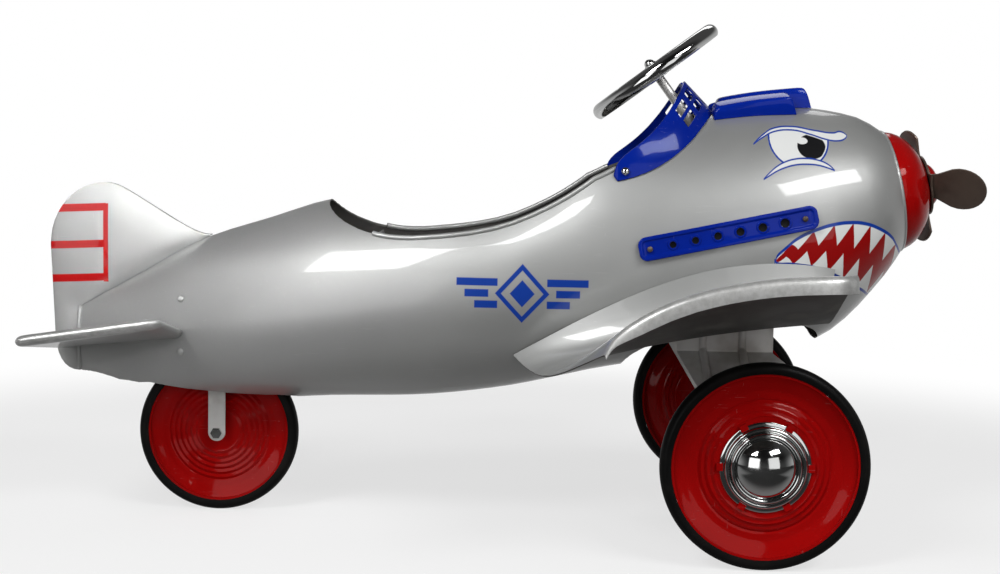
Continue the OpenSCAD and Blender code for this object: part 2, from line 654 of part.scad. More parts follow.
// Seat: bent pan on two rails that span the hull
seat_z = belly_z + seat_rise;
seat_rear = 405;
seat_len = 200;
seat_w = 180;
rail_w = 20;
rail_t = 6;
back_h = 78;
seat_lip = 4;
module seat_pan() {
    x0 = tail_x + seat_rear;
    back = 20;
    color(silver)
    translate([0, seat_w / 2, 0])
    rotate([90, 0, 0])
    linear_extrude(seat_w) polygon([[x0, seat_z], [x0 + seat_len, seat_z],
        [x0 + seat_len + 6, seat_z - seat_lip], [x0 + seat_len + 6 + sheet, seat_z - seat_lip],
        [x0 + seat_len + sheet, seat_z + sheet], [x0 + sheet, seat_z + sheet],
        [x0 + sheet - back, seat_z + back_h], [x0 - back, seat_z + back_h]]);
}
module seat_rails() {
    color(bare)
    for (d = [16, seat_len - 16 - rail_w]) {
        x0 = tail_x + seat_rear + d;
        y0 = skin_y(x0, seat_z - rail_t, -sheet) - 2 * gap;
        y1 = skin_y(x0 + rail_w, seat_z - rail_t, -sheet) - 2 * gap;
        translate([0, 0, seat_z - rail_t])
        linear_extrude(rail_t) polygon([[x0, -y0], [x0 + rail_w, -y1], [x0 + rail_w, y1], [x0, y0]]);
    }
}

// Steering column: local Z runs up the column to the pilot
hub_x = tail_x + steer_set;
hub_z = belly_z + hull_h + steer_over;
column_r = column_d / 2;
down = [cos(column_tilt), 0, -sin(column_tilt)];
ahead = [sin(column_tilt), 0, cos(column_tilt)];
dash_set = 110;
plate_set = 300;
arm_set = 315;
eye_set = 336;
pin_end = 351;
bush_wall = 4;
plate_t = 4;
dash_w = 34;
column_plate_w = 44;
module at_column() { translate([hub_x, 0, hub_z]) rotate([0, column_tilt - 90, 0]) children(); }
// Plate across the hull, square to the column, with a seat for a bush
module cross_plate(set, wide) {
    function corner(depth, side) = [hub_x, 0, hub_z] + depth * down + side * wide / 2 * ahead;
    function edge(p) = skin_y(p[0], p[2], -sheet);
    function reach(side) = min(edge(corner(set, side)), edge(corner(set - plate_t, side))) - 3 * gap;
    difference() {
        linear_extrude(plate_t) polygon([[-wide / 2, -reach(-1)], [wide / 2, -reach(1)],
            [wide / 2, reach(1)], [-wide / 2, reach(-1)]]);
        translate([0, 0, -1]) cylinder(r = column_r + fit + bush_wall, h = plate_t + 2);
    }
}
module dash_plate() { color(silver) at_column() translate([0, 0, -dash_set]) cross_plate(dash_set, dash_w); }
module column_plate() { color(bare) at_column() translate([0, 0, -plate_set]) cross_plate(plate_set, column_plate_w); }
module flanged_bush(bore_r, wall, length, flange) {
    rotate_extrude() polygon([[bore_r, 0], [bore_r + wall + flange, 0], [bore_r + wall + flange, flange],
        [bore_r + wall, flange], [bore_r + wall, length], [bore_r, length]]);
}
module column_bushes() {
    color(black)
    at_column()
    for (set = [dash_set, plate_set])
        translate([0, 0, -set + plate_t + 2]) mirror([0, 0, 1])
        flanged_bush(column_r + fit, bush_wall - fit, plate_t + 2, 2);
}
wheel_hub_r = 20;
wheel_hub_h = 10;
stud_r = 4;
module steering_wheel() {
    ring_r = (steer_d - rim_d) / 2;
    spoke_w = 14;
    spoke_t = 4;
    color(chrome)
    at_column()
    difference() {
        union() {
            rotate_extrude() translate([ring_r, 0]) circle(d = rim_d);
            translate([0, 0, -wheel_hub_h / 2]) cylinder(r = wheel_hub_r, h = wheel_hub_h);
            for (a = [60, 180, 300])
                rotate([0, 0, a]) translate([0, -spoke_w / 2, -spoke_t / 2]) cube([ring_r, spoke_w, spoke_t]);
        }
        translate([0, 0, -wheel_hub_h]) cylinder(r = stud_r + fit, h = 2 * wheel_hub_h);
    }
}
module steering_nut() {
    nut_r = 8;
    nut_h = 7;
    color(chrome)
    at_column()
    translate([0, 0, wheel_hub_h / 2])
    difference() {
        union() {
            cylinder(r = nut_r, h = nut_h, $fn = 6);
            translate([0, 0, nut_h]) intersection() {
                sphere(r = nut_r * 0.85);
                cylinder(r = nut_r, h = nut_r);
            }
        }
        translate([0, 0, -1]) cylinder(r = stud_r + fit, h = nut_h + 1);
    }
}
module steering_column() {
    color(bare)
    at_column() {
        cylinder(r = stud_r, h = wheel_hub_h / 2 + 6);
        translate([0, 0, -wheel_hub_h / 2]) cylinder(r = stud_r, h = wheel_hub_h);
        translate([0, 0, -arm_set]) cylinder(r = column_r, h = arm_set - wheel_hub_h / 2);
        translate([0, 0, -arm_set]) sphere(r = column_r);
        translate([0, 0, -arm_set]) rotate([-90, 0, 0]) cylinder(r = column_r, h = column_arm);
        translate([0, column_arm, -arm_set]) sphere(r = column_r);
        translate([0, column_arm, -pin_end]) cylinder(r = column_r, h = pin_end - arm_set);
    }
}

// Tail fork, with its arm and king pin, and the drag link that turns it
fork_arm = column_arm * sin(steer_max) / (ahead[0] * sin(fork_max));
tail_hub_w = 30;
leg_y = tail_hub_w / 2 + side_gap;
strap_w = 22;
strap_t = 4;
crown_z = tail_d + 6;
arm_top = crown_z + strap_t;
link_eye_h = link_d + 1;
link_pin_r = link_d / 2;
bracket_z = arm_top + link_eye_h + 9;
king_r = king_d / 2;
king_top = bracket_z + plate_t + 12;
bolt_r = 4;
module tail_fork() {
    color(silver)
    translate([tail_axle_x, 0, 0])
    difference() {
        union() {
            for (side = [-1, 1]) translate([0, side * (leg_y + strap_t / 2), 0]) {
                translate([-strap_w / 2, -strap_t / 2, tail_r]) cube([strap_w, strap_t, arm_top - tail_r]);
                translate([0, strap_t / 2, tail_r]) rotate([90, 0, 0]) cylinder(d = strap_w, h = strap_t);
            }
            translate([-strap_w / 2, -leg_y - strap_t, crown_z])
                cube([strap_w, 2 * (leg_y + strap_t), strap_t]);
            translate([-strap_w / 2, -fork_arm, crown_z]) cube([strap_w, fork_arm, strap_t]);
            translate([0, -fork_arm, crown_z]) cylinder(d = strap_w, h = strap_t);
            translate([0, -fork_arm, crown_z]) cylinder(r = link_pin_r, h = strap_t + link_eye_h + 4);
            translate([0, 0, crown_z]) cylinder(r = king_r, h = king_top - crown_z);
        }
        translate([0, -leg_y - strap_t - 1, tail_r]) rotate([-90, 0, 0])
            cylinder(r = bolt_r + fit, h = 2 * (leg_y + strap_t) + 2);
    }
}
module fork_bracket() {
    wide = 56;
    function reach(side) = skin_y(tail_axle_x + side * wide / 2, bracket_z, -sheet) - 2 * gap;
    color(bare)
    difference() {
        translate([tail_axle_x, 0, bracket_z]) linear_extrude(plate_t) polygon([[-wide / 2, -reach(-1)],
            [wide / 2, -reach(1)], [wide / 2, reach(1)], [-wide / 2, reach(-1)]]);
        translate([tail_axle_x, 0, bracket_z - 1]) cylinder(r = king_r + fit + bush_wall, h = plate_t + 2);
    }
}
module fork_bush() {
    color(black)
    translate([tail_axle_x, 0, bracket_z + plate_t + 2])
    mirror([0, 0, 1])
    flanged_bush(king_r + fit, bush_wall - fit, plate_t + 2, 2);
}
module tail_axle_bolt() {
    head_h = 5;
    color(chrome)
    translate([tail_axle_x, -leg_y - strap_t, tail_r])
    rotate([-90, 0, 0]) {
        translate([0, 0, -head_h]) cylinder(r = 7.5, h = head_h, $fn = 6);
        cylinder(r = bolt_r, h = 2 * (leg_y + strap_t) + 8);
    }
}
module tail_axle_nut() {
    color(chrome)
    translate([tail_axle_x, leg_y + strap_t, tail_r])
    rotate([-90, 0, 0])
    difference() {
        cylinder(r = 7.5, h = 6, $fn = 6);
        translate([0, 0, -1]) cylinder(r = bolt_r + fit, h = 8);
    }
}
// Drag link: rear eye on the fork's arm pin, front eye a slot round the column's arm pin
slot_r = column_r + gap;
slot_len = fork_arm * (1 - cos(fork_max)) + column_arm * (1 - cos(steer_max)) + gap;
link_rear = [tail_axle_x, -fork_arm, arm_top + side_gap + link_eye_h / 2];
link_front = [hub_x, column_arm, hub_z] + eye_set * down;
module rod_between(a, b, r) {
    v = b - a;
    translate(a) rotate([0, acos(v[2] / norm(v)), atan2(v[1], v[0])]) cylinder(r = r, h = norm(v));
}
module steering_rod() {
    eye_wall = 5;
    eye_r = link_pin_r + fit + eye_wall;
    ring_r = slot_r + eye_wall;
    eye_h = 8;
    along_link = unit(link_front - link_rear);
    color(bare)
    difference() {
        union() {
            rod_between(link_rear + along_link * (eye_r - 2),
                link_front - along_link * (ring_r - 2), link_d / 2);
            translate(link_rear - [0, 0, link_eye_h / 2]) cylinder(r = eye_r, h = link_eye_h);
            translate(link_front) rotate([0, column_tilt - 90, 0]) translate([0, 0, -eye_h / 2]) {
                cylinder(r = ring_r, h = eye_h);
                translate([0, -slot_len, 0]) cylinder(r = ring_r, h = eye_h);
                translate([-ring_r, -slot_len, 0]) cube([2 * ring_r, slot_len, eye_h]);
            }
        }
        translate(link_rear - [0, 0, link_eye_h]) cylinder(r = link_pin_r + fit, h = 2 * link_eye_h);
        translate(link_front) rotate([0, column_tilt - 90, 0]) translate([0, 0, -eye_h]) {
            cylinder(r = slot_r, h = 2 * eye_h);
            translate([0, -slot_len, 0]) cylinder(r = slot_r, h = 2 * eye_h);
            translate([-slot_r, -slot_len, 0]) cube([2 * slot_r, slot_len, 2 * eye_h]);
        }
    }
}

// Wheels: turned about local Z, whose positive end is the outer face
module tyre(outer_r) {
    inner_r = outer_r - tyre_h;
    crown = tyre_w / 2;
    color(black)
    rotate_extrude() polygon(concat([[inner_r, -crown + 1], [inner_r, crown - 1]],
        [for (i = [0 : 8]) let (a = lerp(90, -90, i / 8))
            [outer_r - crown * 0.7 * (1 - cos(a)), crown * sin(a)]]));
}
disc_t = 2.5;
// Face of a stamped disc: flat at the hub, a band of ridges, and a rolled outer ring
function disc_face(r, rim_r, hub, ring, dish, high) =
    r < hub ? high :
    r < ring ? lerp(high, -dish, ease((r - hub) / (ring - hub))) + 0.9 * sin(360 * (r - hub) / 7) :
    lerp(-dish, high, ease((r - ring) / (rim_r - ring)));
module disc(rim_r, bore_r, hub, ring, dish, high, hub_back, hub_front) {
    hub_r = bore_r + 6;
    band = tyre_w / 2 - 2;
    web_r = rim_r - disc_t;
    radii = concat([hub_r], [for (r = [hub : 1.75 : ring]) r], [for (i = [1 : 6]) lerp(ring, web_r, i / 6)]);
    face = [for (r = radii) [r, disc_face(r, rim_r, hub, ring, dish, high)]];
    rotate_extrude() polygon(concat([[bore_r, -hub_back], [hub_r, -hub_back]],
        [for (p = face) p - [0, disc_t]], [[web_r, -band], [rim_r, -band], [rim_r, band], [web_r, band]],
        [for (i = [len(face) - 1 : -1 : 0]) face[i]], [[hub_r, hub_front], [bore_r, hub_front]]));
}
module at_wheel(side) {
    translate([front_axle_x, side * track / 2, front_r]) rotate([-side * 90, 0, 0]) children();
}
front_rim_r = front_r - tyre_h - gap / 5;
cap_seat = 5.5;
cap_flange = 1.5;
tabs = 6;
hub_back = 17;
hub_front = 8;
module front_disc(side) {
    cap_r = hubcap_d / 2;
    tab_w = 9;
    color(red)
    at_wheel(side) {
        disc(front_rim_r, axle_r + fit, cap_r + 5, front_rim_r - 26, 2, cap_seat - 0.5, hub_back, hub_front);
        for (i = [0 : tabs - 1]) rotate([0, 0, i * 360 / tabs]) {
            translate([cap_r + 0.5, -tab_w / 2, cap_seat - 1.5]) cube([3, tab_w, 5]);
            translate([cap_r - 4, -tab_w / 2, cap_seat + cap_flange + 0.3]) cube([6, tab_w, 1.7]);
        }
    }
}
module front_disc_left() { front_disc(1); }
module front_disc_right() { front_disc(-1); }
module front_tyre_left() { at_wheel(1) tyre(front_r); }
module front_tyre_right() { at_wheel(-1) tyre(front_r); }
module hubcap() {
    r = hubcap_d / 2;
    wall = 1.5;
    dome_r = r * 0.6;
    dome = [for (i = [0 : 8]) [dome_r * cos(90 * i / 8), 13 + 16 * sin(90 * i / 8)]];
    hollow = [for (i = [8 : -1 : 0]) [(dome_r - wall) * cos(90 * i / 8), 13 - wall + 16 * sin(90 * i / 8)]];
    color(chrome)
    translate([0, 0, cap_seat])
    rotate_extrude() polygon(concat([[r - 8 - wall, 0], [r, 0], [r, cap_flange], [r - 7, cap_flange],
        [r - 10, 9], [dome_r + 3, 11]], dome, hollow, [[r - 11.5, 9 - wall]]));
}
module hubcap_left() { at_wheel(1) hubcap(); }
module hubcap_right() { at_wheel(-1) hubcap(); }
module tail_wheel_disc() {
    rim_r = tail_r - tyre_h - gap / 5;
    color(red)
    translate([tail_axle_x, 0, tail_r])
    rotate([90, 0, 0])
    disc(rim_r, bolt_r + fit, 26, rim_r - 22, 1, 4, tail_hub_w / 2, tail_hub_w / 2);
}
module tail_tyre() { translate([tail_axle_x, 0, tail_r]) rotate([90, 0, 0]) tyre(tail_r); }

// Hangers: plates that leave the hull, bend outwards and hold the axle
bend_top = 238;
bend_low = 196;
hanger_lead = 36;
bush_r = axle_r + fit + bush_wall;
module hanger(side) {
    x1 = front_axle_x + hanger_w / 2 - hanger_lead;
    x0 = x1 - hanger_w;
    flare = 18;
    eye_r = 24;
    bead_r = 5;
    inner_y = hanger_top_y - hanger_t / 2;
    function roof(x) =
        let (u = share(x, bend_top + 60), k = min(1, inner_y / half_w(u)))
        mid_z(u) - (mid_z(u) - low_z(u)) * sqrt(1 - k * k) - gap;
    strip = [[inner_y, 400], [inner_y, bend_top], [hanger_y - hanger_t / 2, bend_low],
        [hanger_y - hanger_t / 2, 0], [hanger_y + hanger_t / 2, 0], [hanger_y + hanger_t / 2, bend_low + 1],
        [inner_y + hanger_t, bend_top + 1], [inner_y + hanger_t, 400]];
    front = concat([for (i = [0 : 8]) let (x = lerp(x0, x1, i / 8)) [x, roof(x)]],
        [[x1, bend_top], [x1 + flare, bend_top - 14], [front_axle_x + eye_r, front_r]],
        arc([front_axle_x, front_r], eye_r, eye_r, -12, -168, 12),
        [[front_axle_x - eye_r, front_r], [x0, bend_top]]);
    color(silver)
    mirror([0, side < 0 ? 1 : 0, 0])
    difference() {
        union() {
            intersection() {
                translate([x0 - 50, 0, 0]) rotate([90, 0, 90]) linear_extrude(hanger_w + 120) polygon(strip);
                translate([0, hanger_y + 20, 0]) rotate([90, 0, 0]) linear_extrude(hanger_y) polygon(front);
            }
            for (x = [x0 + hanger_w * 0.27, x0 + hanger_w * 0.68])
                translate([x, hanger_top_y, bend_top + 4]) cylinder(r = bead_r, h = 32);
        }
        translate([front_axle_x, hanger_y - 20, front_r]) rotate([-90, 0, 0])
            cylinder(r = bush_r, h = 40);
    }
}
module hanger_left() { hanger(1); }
module hanger_right() { hanger(-1); }
module axle_bushes() {
    color(black)
    for (side = [-1, 1])
        translate([front_axle_x, side * (hanger_y - hanger_t / 2 - 2), front_r])
        rotate([-side * 90, 0, 0])
        flanged_bush(axle_r + fit, bush_wall - fit, hanger_t + 4, 2);
}

// Cranked axle: one bent rod, the left throw up and the right throw down
throw_in = pedal_y - pedal_w / 2 - axle_r - side_gap;
throw_out = pedal_y + pedal_w / 2 + axle_r + side_gap;
axle_end = track / 2 + hub_front + 9;
crank_path = [[-axle_end, 0], [-throw_out, 0], [-throw_out, -crank_throw], [-throw_in, -crank_throw],
    [-throw_in, 0], [throw_in, 0], [throw_in, crank_throw], [throw_out, crank_throw],
    [throw_out, 0], [axle_end, 0]];
crank_rest = 35;
module at_axle() { translate([front_axle_x, 0, front_r]) rotate([0, crank_rest, 0]) children(); }
module crank_axle() {
    color(bare)
    at_axle() {
        for (i = [0 : len(crank_path) - 2])
            rod_between([0, crank_path[i][0], crank_path[i][1]], [0, crank_path[i + 1][0], crank_path[i + 1][1]],
                axle_r);
        for (i = [1 : len(crank_path) - 2]) translate([0, crank_path[i][0], crank_path[i][1]]) sphere(r = axle_r);
    }
}
module axle_spacers() {
    from = hanger_y + hanger_t / 2 + 2 + side_gap;
    to = track / 2 - hub_back - side_gap;
    color(bare)
    for (side = [-1, 1])
        translate([front_axle_x, side * from, front_r]) rotate([-side * 90, 0, 0])
        difference() {
            cylinder(r = axle_r + 4, h = to - from);
            translate([0, 0, -1]) cylinder(r = axle_r + fit, h = to - from + 2);
        }
}
module axle_nuts() {
    from = track / 2 + hub_front + side_gap;
    color(bare)
    for (side = [-1, 1])
        translate([front_axle_x, side * from, front_r]) rotate([-side * 90, 0, 0])
        difference() {
            cylinder(r = axle_r + 5, h = 7, $fn = 6);
            translate([0, 0, -1]) cylinder(r = axle_r + fit, h = 9);
        }
}
module pedal(side) {
    color(black)
    translate([front_axle_x, 0, front_r])
    translate(side * crank_throw * [sin(crank_rest), 0, cos(crank_rest)] + [0, side * pedal_y, 0])
    difference() {
        union() {
            cube([pedal_len, pedal_w, pedal_t], center = true);
            for (d = [-0.36, -0.12, 0.12, 0.36])
                translate([d * pedal_len, 0, pedal_t / 2]) cube([5, pedal_w, 4], center = true);
        }
        rotate([90, 0, 0]) cylinder(r = axle_r + fit, h = pedal_w + 2, center = true);
    }
}
module pedal_left() { pedal(1); }
module pedal_right() { pedal(-1); }

fuselage_left();
fuselage_right();
tail_fin();
tailplane_left();
tailplane_right();
wing_left();
wing_right();
nose_cone();
propeller_pin();
propeller();
spinner_cap();
windshield();
windshield_screws();
gun_centre();
gun_left();
gun_right();
exhaust_left();
exhaust_right();
exhaust_screws();
tail_screws();
seat_pan();
seat_rails();
dash_plate();
column_plate();
column_bushes();
steering_wheel();
steering_nut();
steering_column();
steering_rod();
fork_bracket();
fork_bush();
tail_fork();
tail_axle_bolt();
tail_axle_nut();
tail_wheel_disc();
tail_tyre();
hanger_left();
hanger_right();
axle_bushes();
crank_axle();
axle_spacers();
axle_nuts();
pedal_left();
pedal_right();
front_disc_left();
front_disc_right();
front_tyre_left();
front_tyre_right();
hubcap_left();
hubcap_right();
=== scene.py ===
"""Ride-on pedal plane: enamel, plating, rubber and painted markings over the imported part."""
import json
import math

import bmesh
import bpy
from mathutils import Matrix, Vector


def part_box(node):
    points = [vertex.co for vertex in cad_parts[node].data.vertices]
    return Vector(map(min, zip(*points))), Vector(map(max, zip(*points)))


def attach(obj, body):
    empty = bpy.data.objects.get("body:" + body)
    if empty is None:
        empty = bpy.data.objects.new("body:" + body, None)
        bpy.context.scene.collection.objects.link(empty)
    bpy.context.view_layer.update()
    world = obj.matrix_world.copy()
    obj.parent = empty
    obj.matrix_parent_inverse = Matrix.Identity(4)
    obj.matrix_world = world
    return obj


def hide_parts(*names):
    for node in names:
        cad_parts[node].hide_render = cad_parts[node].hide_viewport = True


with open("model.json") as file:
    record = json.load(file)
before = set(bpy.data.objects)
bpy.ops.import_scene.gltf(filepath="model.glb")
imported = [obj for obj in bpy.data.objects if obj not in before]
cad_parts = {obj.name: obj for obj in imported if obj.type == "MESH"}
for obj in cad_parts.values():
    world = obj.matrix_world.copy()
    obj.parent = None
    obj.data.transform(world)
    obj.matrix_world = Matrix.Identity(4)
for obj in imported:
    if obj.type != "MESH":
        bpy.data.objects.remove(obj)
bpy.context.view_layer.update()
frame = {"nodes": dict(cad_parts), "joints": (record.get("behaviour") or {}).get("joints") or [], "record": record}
nodes = frame["nodes"]
scene = bpy.context.scene
TAIL_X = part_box("fuselage_left")[0][0]
BELLY_Z = 0.154
SAME_SPOT = 2e-5
WHEEL_X = sum(corner[0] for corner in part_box("front_tyre_right")) / 2

# Photograph's viewpoint, in metres, degrees and millimetres
CAMERA_AT = (0.0288, -2.0624, 0.4905)
CAMERA_PITCH = 5.26
CAMERA_YAW = 1.10
CAMERA_ROLL = 1.05
CAMERA_LENS = 57.4
SENSOR = 36.0

# Enamels, platings and rubbers, as linear colours
SILVER_DEEP = (0.350, 0.354, 0.348, 1)
SILVER_PALE = (0.450, 0.454, 0.448, 1)
WORN_METAL = (0.62, 0.62, 0.61, 1)
WORN_DULL = (0.48, 0.48, 0.47, 1)
SILVER_METAL = 0.58
BLUE = (0.002, 0.020, 0.310, 1)
BLUE_DEEP = (0.002, 0.014, 0.230, 1)
RED = (0.360, 0.003, 0.003, 1)
RED_DEEP = (0.270, 0.002, 0.002, 1)
MARK_RED = (0.400, 0.003, 0.003, 1)
# The mouth's red is the marking red darkened: painted shade, as the mouth lies in shade.
SHADED_MOUTH_RED = (0.290, 0.002, 0.002, 1)
MARK_WHITE = (0.700, 0.710, 0.700, 1)
MARK_BLUE = (0.005, 0.040, 0.300, 1)
MARK_BLACK = (0.006, 0.006, 0.007, 1)


# Modelling by hand

def deselect():
    """Leaves nothing selected, as before a new primitive."""
    bpy.ops.object.select_all(action="DESELECT")


def select_mesh():
    """Selects the whole mesh in edit mode."""
    bpy.ops.mesh.select_all(action="SELECT")


def only(piece):
    """Selects this piece alone and makes it active."""
    deselect()
    piece.select_set(True)
    bpy.context.view_layer.objects.active = piece


def edit(piece):
    """Enters edit mode on this piece alone."""
    only(piece)
    bpy.ops.object.mode_set(mode="EDIT")


def leave():
    """Goes back to object mode."""
    bpy.ops.object.mode_set(mode="OBJECT")


def merged_copy(node, name):
    """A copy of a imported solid, with its loose triangles merged back into quads."""
    piece = bpy.data.objects.new(name, nodes[node].data.copy())
    scene.collection.objects.link(piece)
    piece.data.materials.clear()
    edit(piece)
    bpy.ops.mesh.customdata_custom_splitnormals_clear()
    select_mesh()
    bpy.ops.mesh.remove_doubles(threshold=SAME_SPOT)
    bpy.ops.mesh.tris_convert_to_quads(face_threshold=math.radians(50), shape_threshold=math.radians(70))
    leave()
    return piece


def apply(piece, kind, **values):
    """Adds one modifier with these values and applies it."""
    only(piece)
    mod = piece.modifiers.new(kind.lower(), kind)
    for key, value in values.items():
        setattr(mod, key, value)
    bpy.ops.object.modifier_apply(modifier=mod.name)


def break_edges(piece, width, segments=3, angle=35):
    """Rounds off the edges that are sharper than angle."""
    apply(piece, "BEVEL", width=width, segments=segments, limit_method="ANGLE",
          angle_limit=math.radians(angle))


def hold_corners(piece, angle, crease):
    """Creases the edges sharper than angle, so that smoothing keeps them."""
    edit(piece)
    bpy.ops.mesh.select_mode(type="EDGE")
    bpy.ops.mesh.select_all(action="DESELECT")
    bpy.ops.mesh.edges_select_sharp(sharpness=math.radians(angle))
    bpy.ops.transform.edge_crease(value=crease)
    leave()


def smooth(piece, angle=40):
    """Shades a piece as one sweep, apart from edges sharper than angle."""
    only(piece)
    bpy.ops.object.shade_smooth_by_angle(angle=math.radians(angle))


def rounded_copy(node, name, levels=2, angle=45, crease=0.9):
    """A packed sheet or casting, smoothed between its corners."""
    piece = merged_copy(node, name)
    hold_corners(piece, angle, crease)
    apply(piece, "SUBSURF", levels=levels, render_levels=levels)
    smooth(piece)
    return piece


def bevelled_copy(node, name, width, segments=3, angle=35):
    """A packed plate or block with its edges broken."""
    piece = merged_copy(node, name)
    break_edges(piece, width, segments, angle)
    smooth(piece)
    return piece


def sheet_copy(node, name, angle=32):
    """A packed sheet in its own fine facets, shaded as one sweep between its edges."""
    piece = merged_copy(node, name)
    smooth(piece, angle)
    apply(piece, "WEIGHTED_NORMAL", keep_sharp=True, weight=80)
    return piece


def edge_bead(source, name, choose, radius):
    """A round bead along the chosen edges of a finished piece."""
    edit(source)
    bpy.ops.mesh.select_mode(type="EDGE")
    bpy.ops.mesh.select_all(action="DESELECT")
    shape = bmesh.from_edit_mesh(source.data)
    for edge in shape.edges:
        if len(edge.link_faces) == 2 and choose(edge):
            edge.select_set(True)
    bmesh.update_edit_mesh(source.data)
    bpy.ops.mesh.duplicate()
    bpy.ops.mesh.separate(type="SELECTED")
    leave()
    bead = next(o for o in bpy.context.selected_objects if o is not source)
    bead.name = name
    only(bead)
    bpy.ops.object.convert(target="CURVE")
    bead.data.bevel_depth = radius
    bead.data.bevel_resolution = 3
    bpy.ops.object.convert(target="MESH")
    smooth(bead, 60)
    return bead


def middle(edge):
    """Middle of an edge."""
    return (edge.verts[0].co + edge.verts[1].co) / 2


def set_place(piece, matrix):
    """Turns and moves a finished piece, and leaves the place in its mesh."""
    piece.data.transform(matrix @ piece.matrix_world)
    piece.matrix_world = Matrix.Identity(4)


def turned_to(way):
    """Turns what stands upright along this way."""
    return Vector((0, 0, 1)).rotation_difference(way).to_matrix().to_4x4()


def dress(piece, body, material, slot, *stands_for):
    """Gives a piece its finish and its body, and hides the solids that it stands for; slot is not used."""
    piece.data.materials.clear()
    piece.data.materials.append(material)
    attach(piece, body)
    if stands_for:
        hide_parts(*stands_for)


# Materials

class Finish:
    """Builds one node tree from plain words."""

    def __init__(self, tree):
        self.tree = tree

    def add(self, kind, **settings):
        node = self.tree.nodes.new(kind)
        for key, value in settings.items():
            setattr(node, key, value)
        return node

    def feed(self, socket, value):
        if isinstance(value, bpy.types.NodeSocket):
            self.tree.links.new(value, socket)
        else:
            socket.default_value = value

    def math(self, operation, *values):
        node = self.add("ShaderNodeMath", operation=operation)
        for socket, value in zip(node.inputs, values):
            self.feed(socket, value)
        return node.outputs[0]

    def mix(self, factor, a, b):
        node = self.add("ShaderNodeMix", data_type="RGBA")
        self.feed(node.inputs["Factor"], factor)
        self.feed(node.inputs[6], a)
        self.feed(node.inputs[7], b)
        return node.outputs[2]

    def span(self, value, low, high, to_low=0.0, to_high=1.0):
        """Smooth step of a value from low..high to to_low..to_high."""
        node = self.add("ShaderNodeMapRange", interpolation_type="SMOOTHSTEP")
        for key, item in (("Value", value), ("From Min", low), ("From Max", high),
                          ("To Min", to_low), ("To Max", to_high)):
            self.feed(node.inputs[key], item)
        return node.outputs[0]

    def noise(self, place, scale, detail=2.0, roughness=0.5):
        node = self.add("ShaderNodeTexNoise")
        self.feed(node.inputs["Vector"], place)
        self.feed(node.inputs["Scale"], scale)
        self.feed(node.inputs["Detail"], detail)
        self.feed(node.inputs["Roughness"], roughness)
        return node.outputs[0]

    def stretched(self, place, scale):
        node = self.add("ShaderNodeMapping")
        self.feed(node.inputs["Vector"], place)
        node.inputs["Scale"].default_value = scale
        return node.outputs[0]

    def place(self):
        return self.add("ShaderNodeTexCoord").outputs["Object"]

    def axes(self, place):
        node = self.add("ShaderNodeSeparateXYZ")
        self.feed(node.inputs[0], place)
        return node.outputs

    def curve(self, value, points):
        """A curve of value through the given points, both in 0..1."""
        node = self.add("ShaderNodeFloatCurve")
        line = node.mapping.curves[0]
        while len(line.points) < len(points):
            line.points.new(0.5, 0.5)
        for point, at in zip(line.points, points):
            point.location = at
        node.mapping.update()
        self.feed(node.inputs["Value"], value)
        return node.outputs[0]

    def group(self, tree, **inputs):
        node = self.add("ShaderNodeGroup", node_tree=tree)
        for key, value in inputs.items():
            self.feed(node.inputs[key], value)
        return node.outputs

    def bump(self, height, strength, distance):
        node = self.add("ShaderNodeBump")
        node.inputs["Strength"].default_value = strength
        node.inputs["Distance"].default_value = distance
        self.feed(node.inputs["Height"], height)
        return node.outputs[0]


def new_group(name, inputs, outputs):
    """A shader node group with these sockets, ready to be filled."""
    tree = bpy.data.node_groups.new(name, "ShaderNodeTree")
    for label, kind in inputs:
        tree.interface.new_socket(label, in_out="INPUT", socket_type=kind)
    for label, kind in outputs:
        tree.interface.new_socket(label, in_out="OUTPUT", socket_type=kind)
    finish = Finish(tree)
    return finish, finish.add("NodeGroupInput").outputs, finish.add("NodeGroupOutput").inputs


VECTOR = "NodeSocketVector"
VALUE = "NodeSocketFloat"


def make_paint_film():
    """Sprayed enamel: the orange peel of the coat, and slow drifts of gloss and tone."""
    f, given, out = new_group("paint_film", [("Place", VECTOR)], [("Peel", VALUE), ("Drift", VALUE)])
    coarse = f.noise(given["Place"], 170.0, 2.0)
    fine = f.noise(given["Place"], 620.0, 1.0)
    f.feed(out["Peel"], f.math("ADD", f.math("MULTIPLY", coarse, 0.7), f.math("MULTIPLY", fine, 0.3)))
    f.feed(out["Drift"], f.noise(given["Place"], 7.0, 3.0, 0.55))
    return f.tree


def make_handling_marks():
    """Hairline scratches in two directions and blotches of rubbed-off gloss."""
    f, given, out = new_group("handling_marks", [("Place", VECTOR), ("Amount", VALUE)],
                              [("Hairlines", VALUE), ("Rubbed", VALUE)])
    along = f.noise(f.stretched(given["Place"], (14.0, 300.0, 420.0)), 1.0, 3.0, 0.6)
    across = f.noise(f.stretched(given["Place"], (330.0, 300.0, 22.0)), 1.0, 3.0, 0.6)
    lines = f.math("MAXIMUM", f.span(along, 0.66, 0.72), f.span(across, 0.69, 0.75))
    blotch = f.span(f.noise(given["Place"], 16.0, 4.0, 0.6), 0.52, 0.72)
    f.feed(out["Hairlines"], f.math("MULTIPLY", lines, given["Amount"]))
    f.feed(out["Rubbed"], f.math("MULTIPLY", blotch, given["Amount"]))
    return f.tree


def make_grain():
    """Even speckle for rubber, cast and zinc surfaces."""
    f, given, out = new_group("grain", [("Place", VECTOR), ("Scale", VALUE)],
                              [("Grain", VALUE), ("Cloud", VALUE)])
    f.feed(out["Grain"], f.noise(given["Place"], given["Scale"], 4.0, 0.65))
    f.feed(out["Cloud"], f.noise(given["Place"], 18.0, 3.0, 0.55))
    return f.tree


paint_film = make_paint_film()
handling_marks = make_handling_marks()
grain = make_grain()


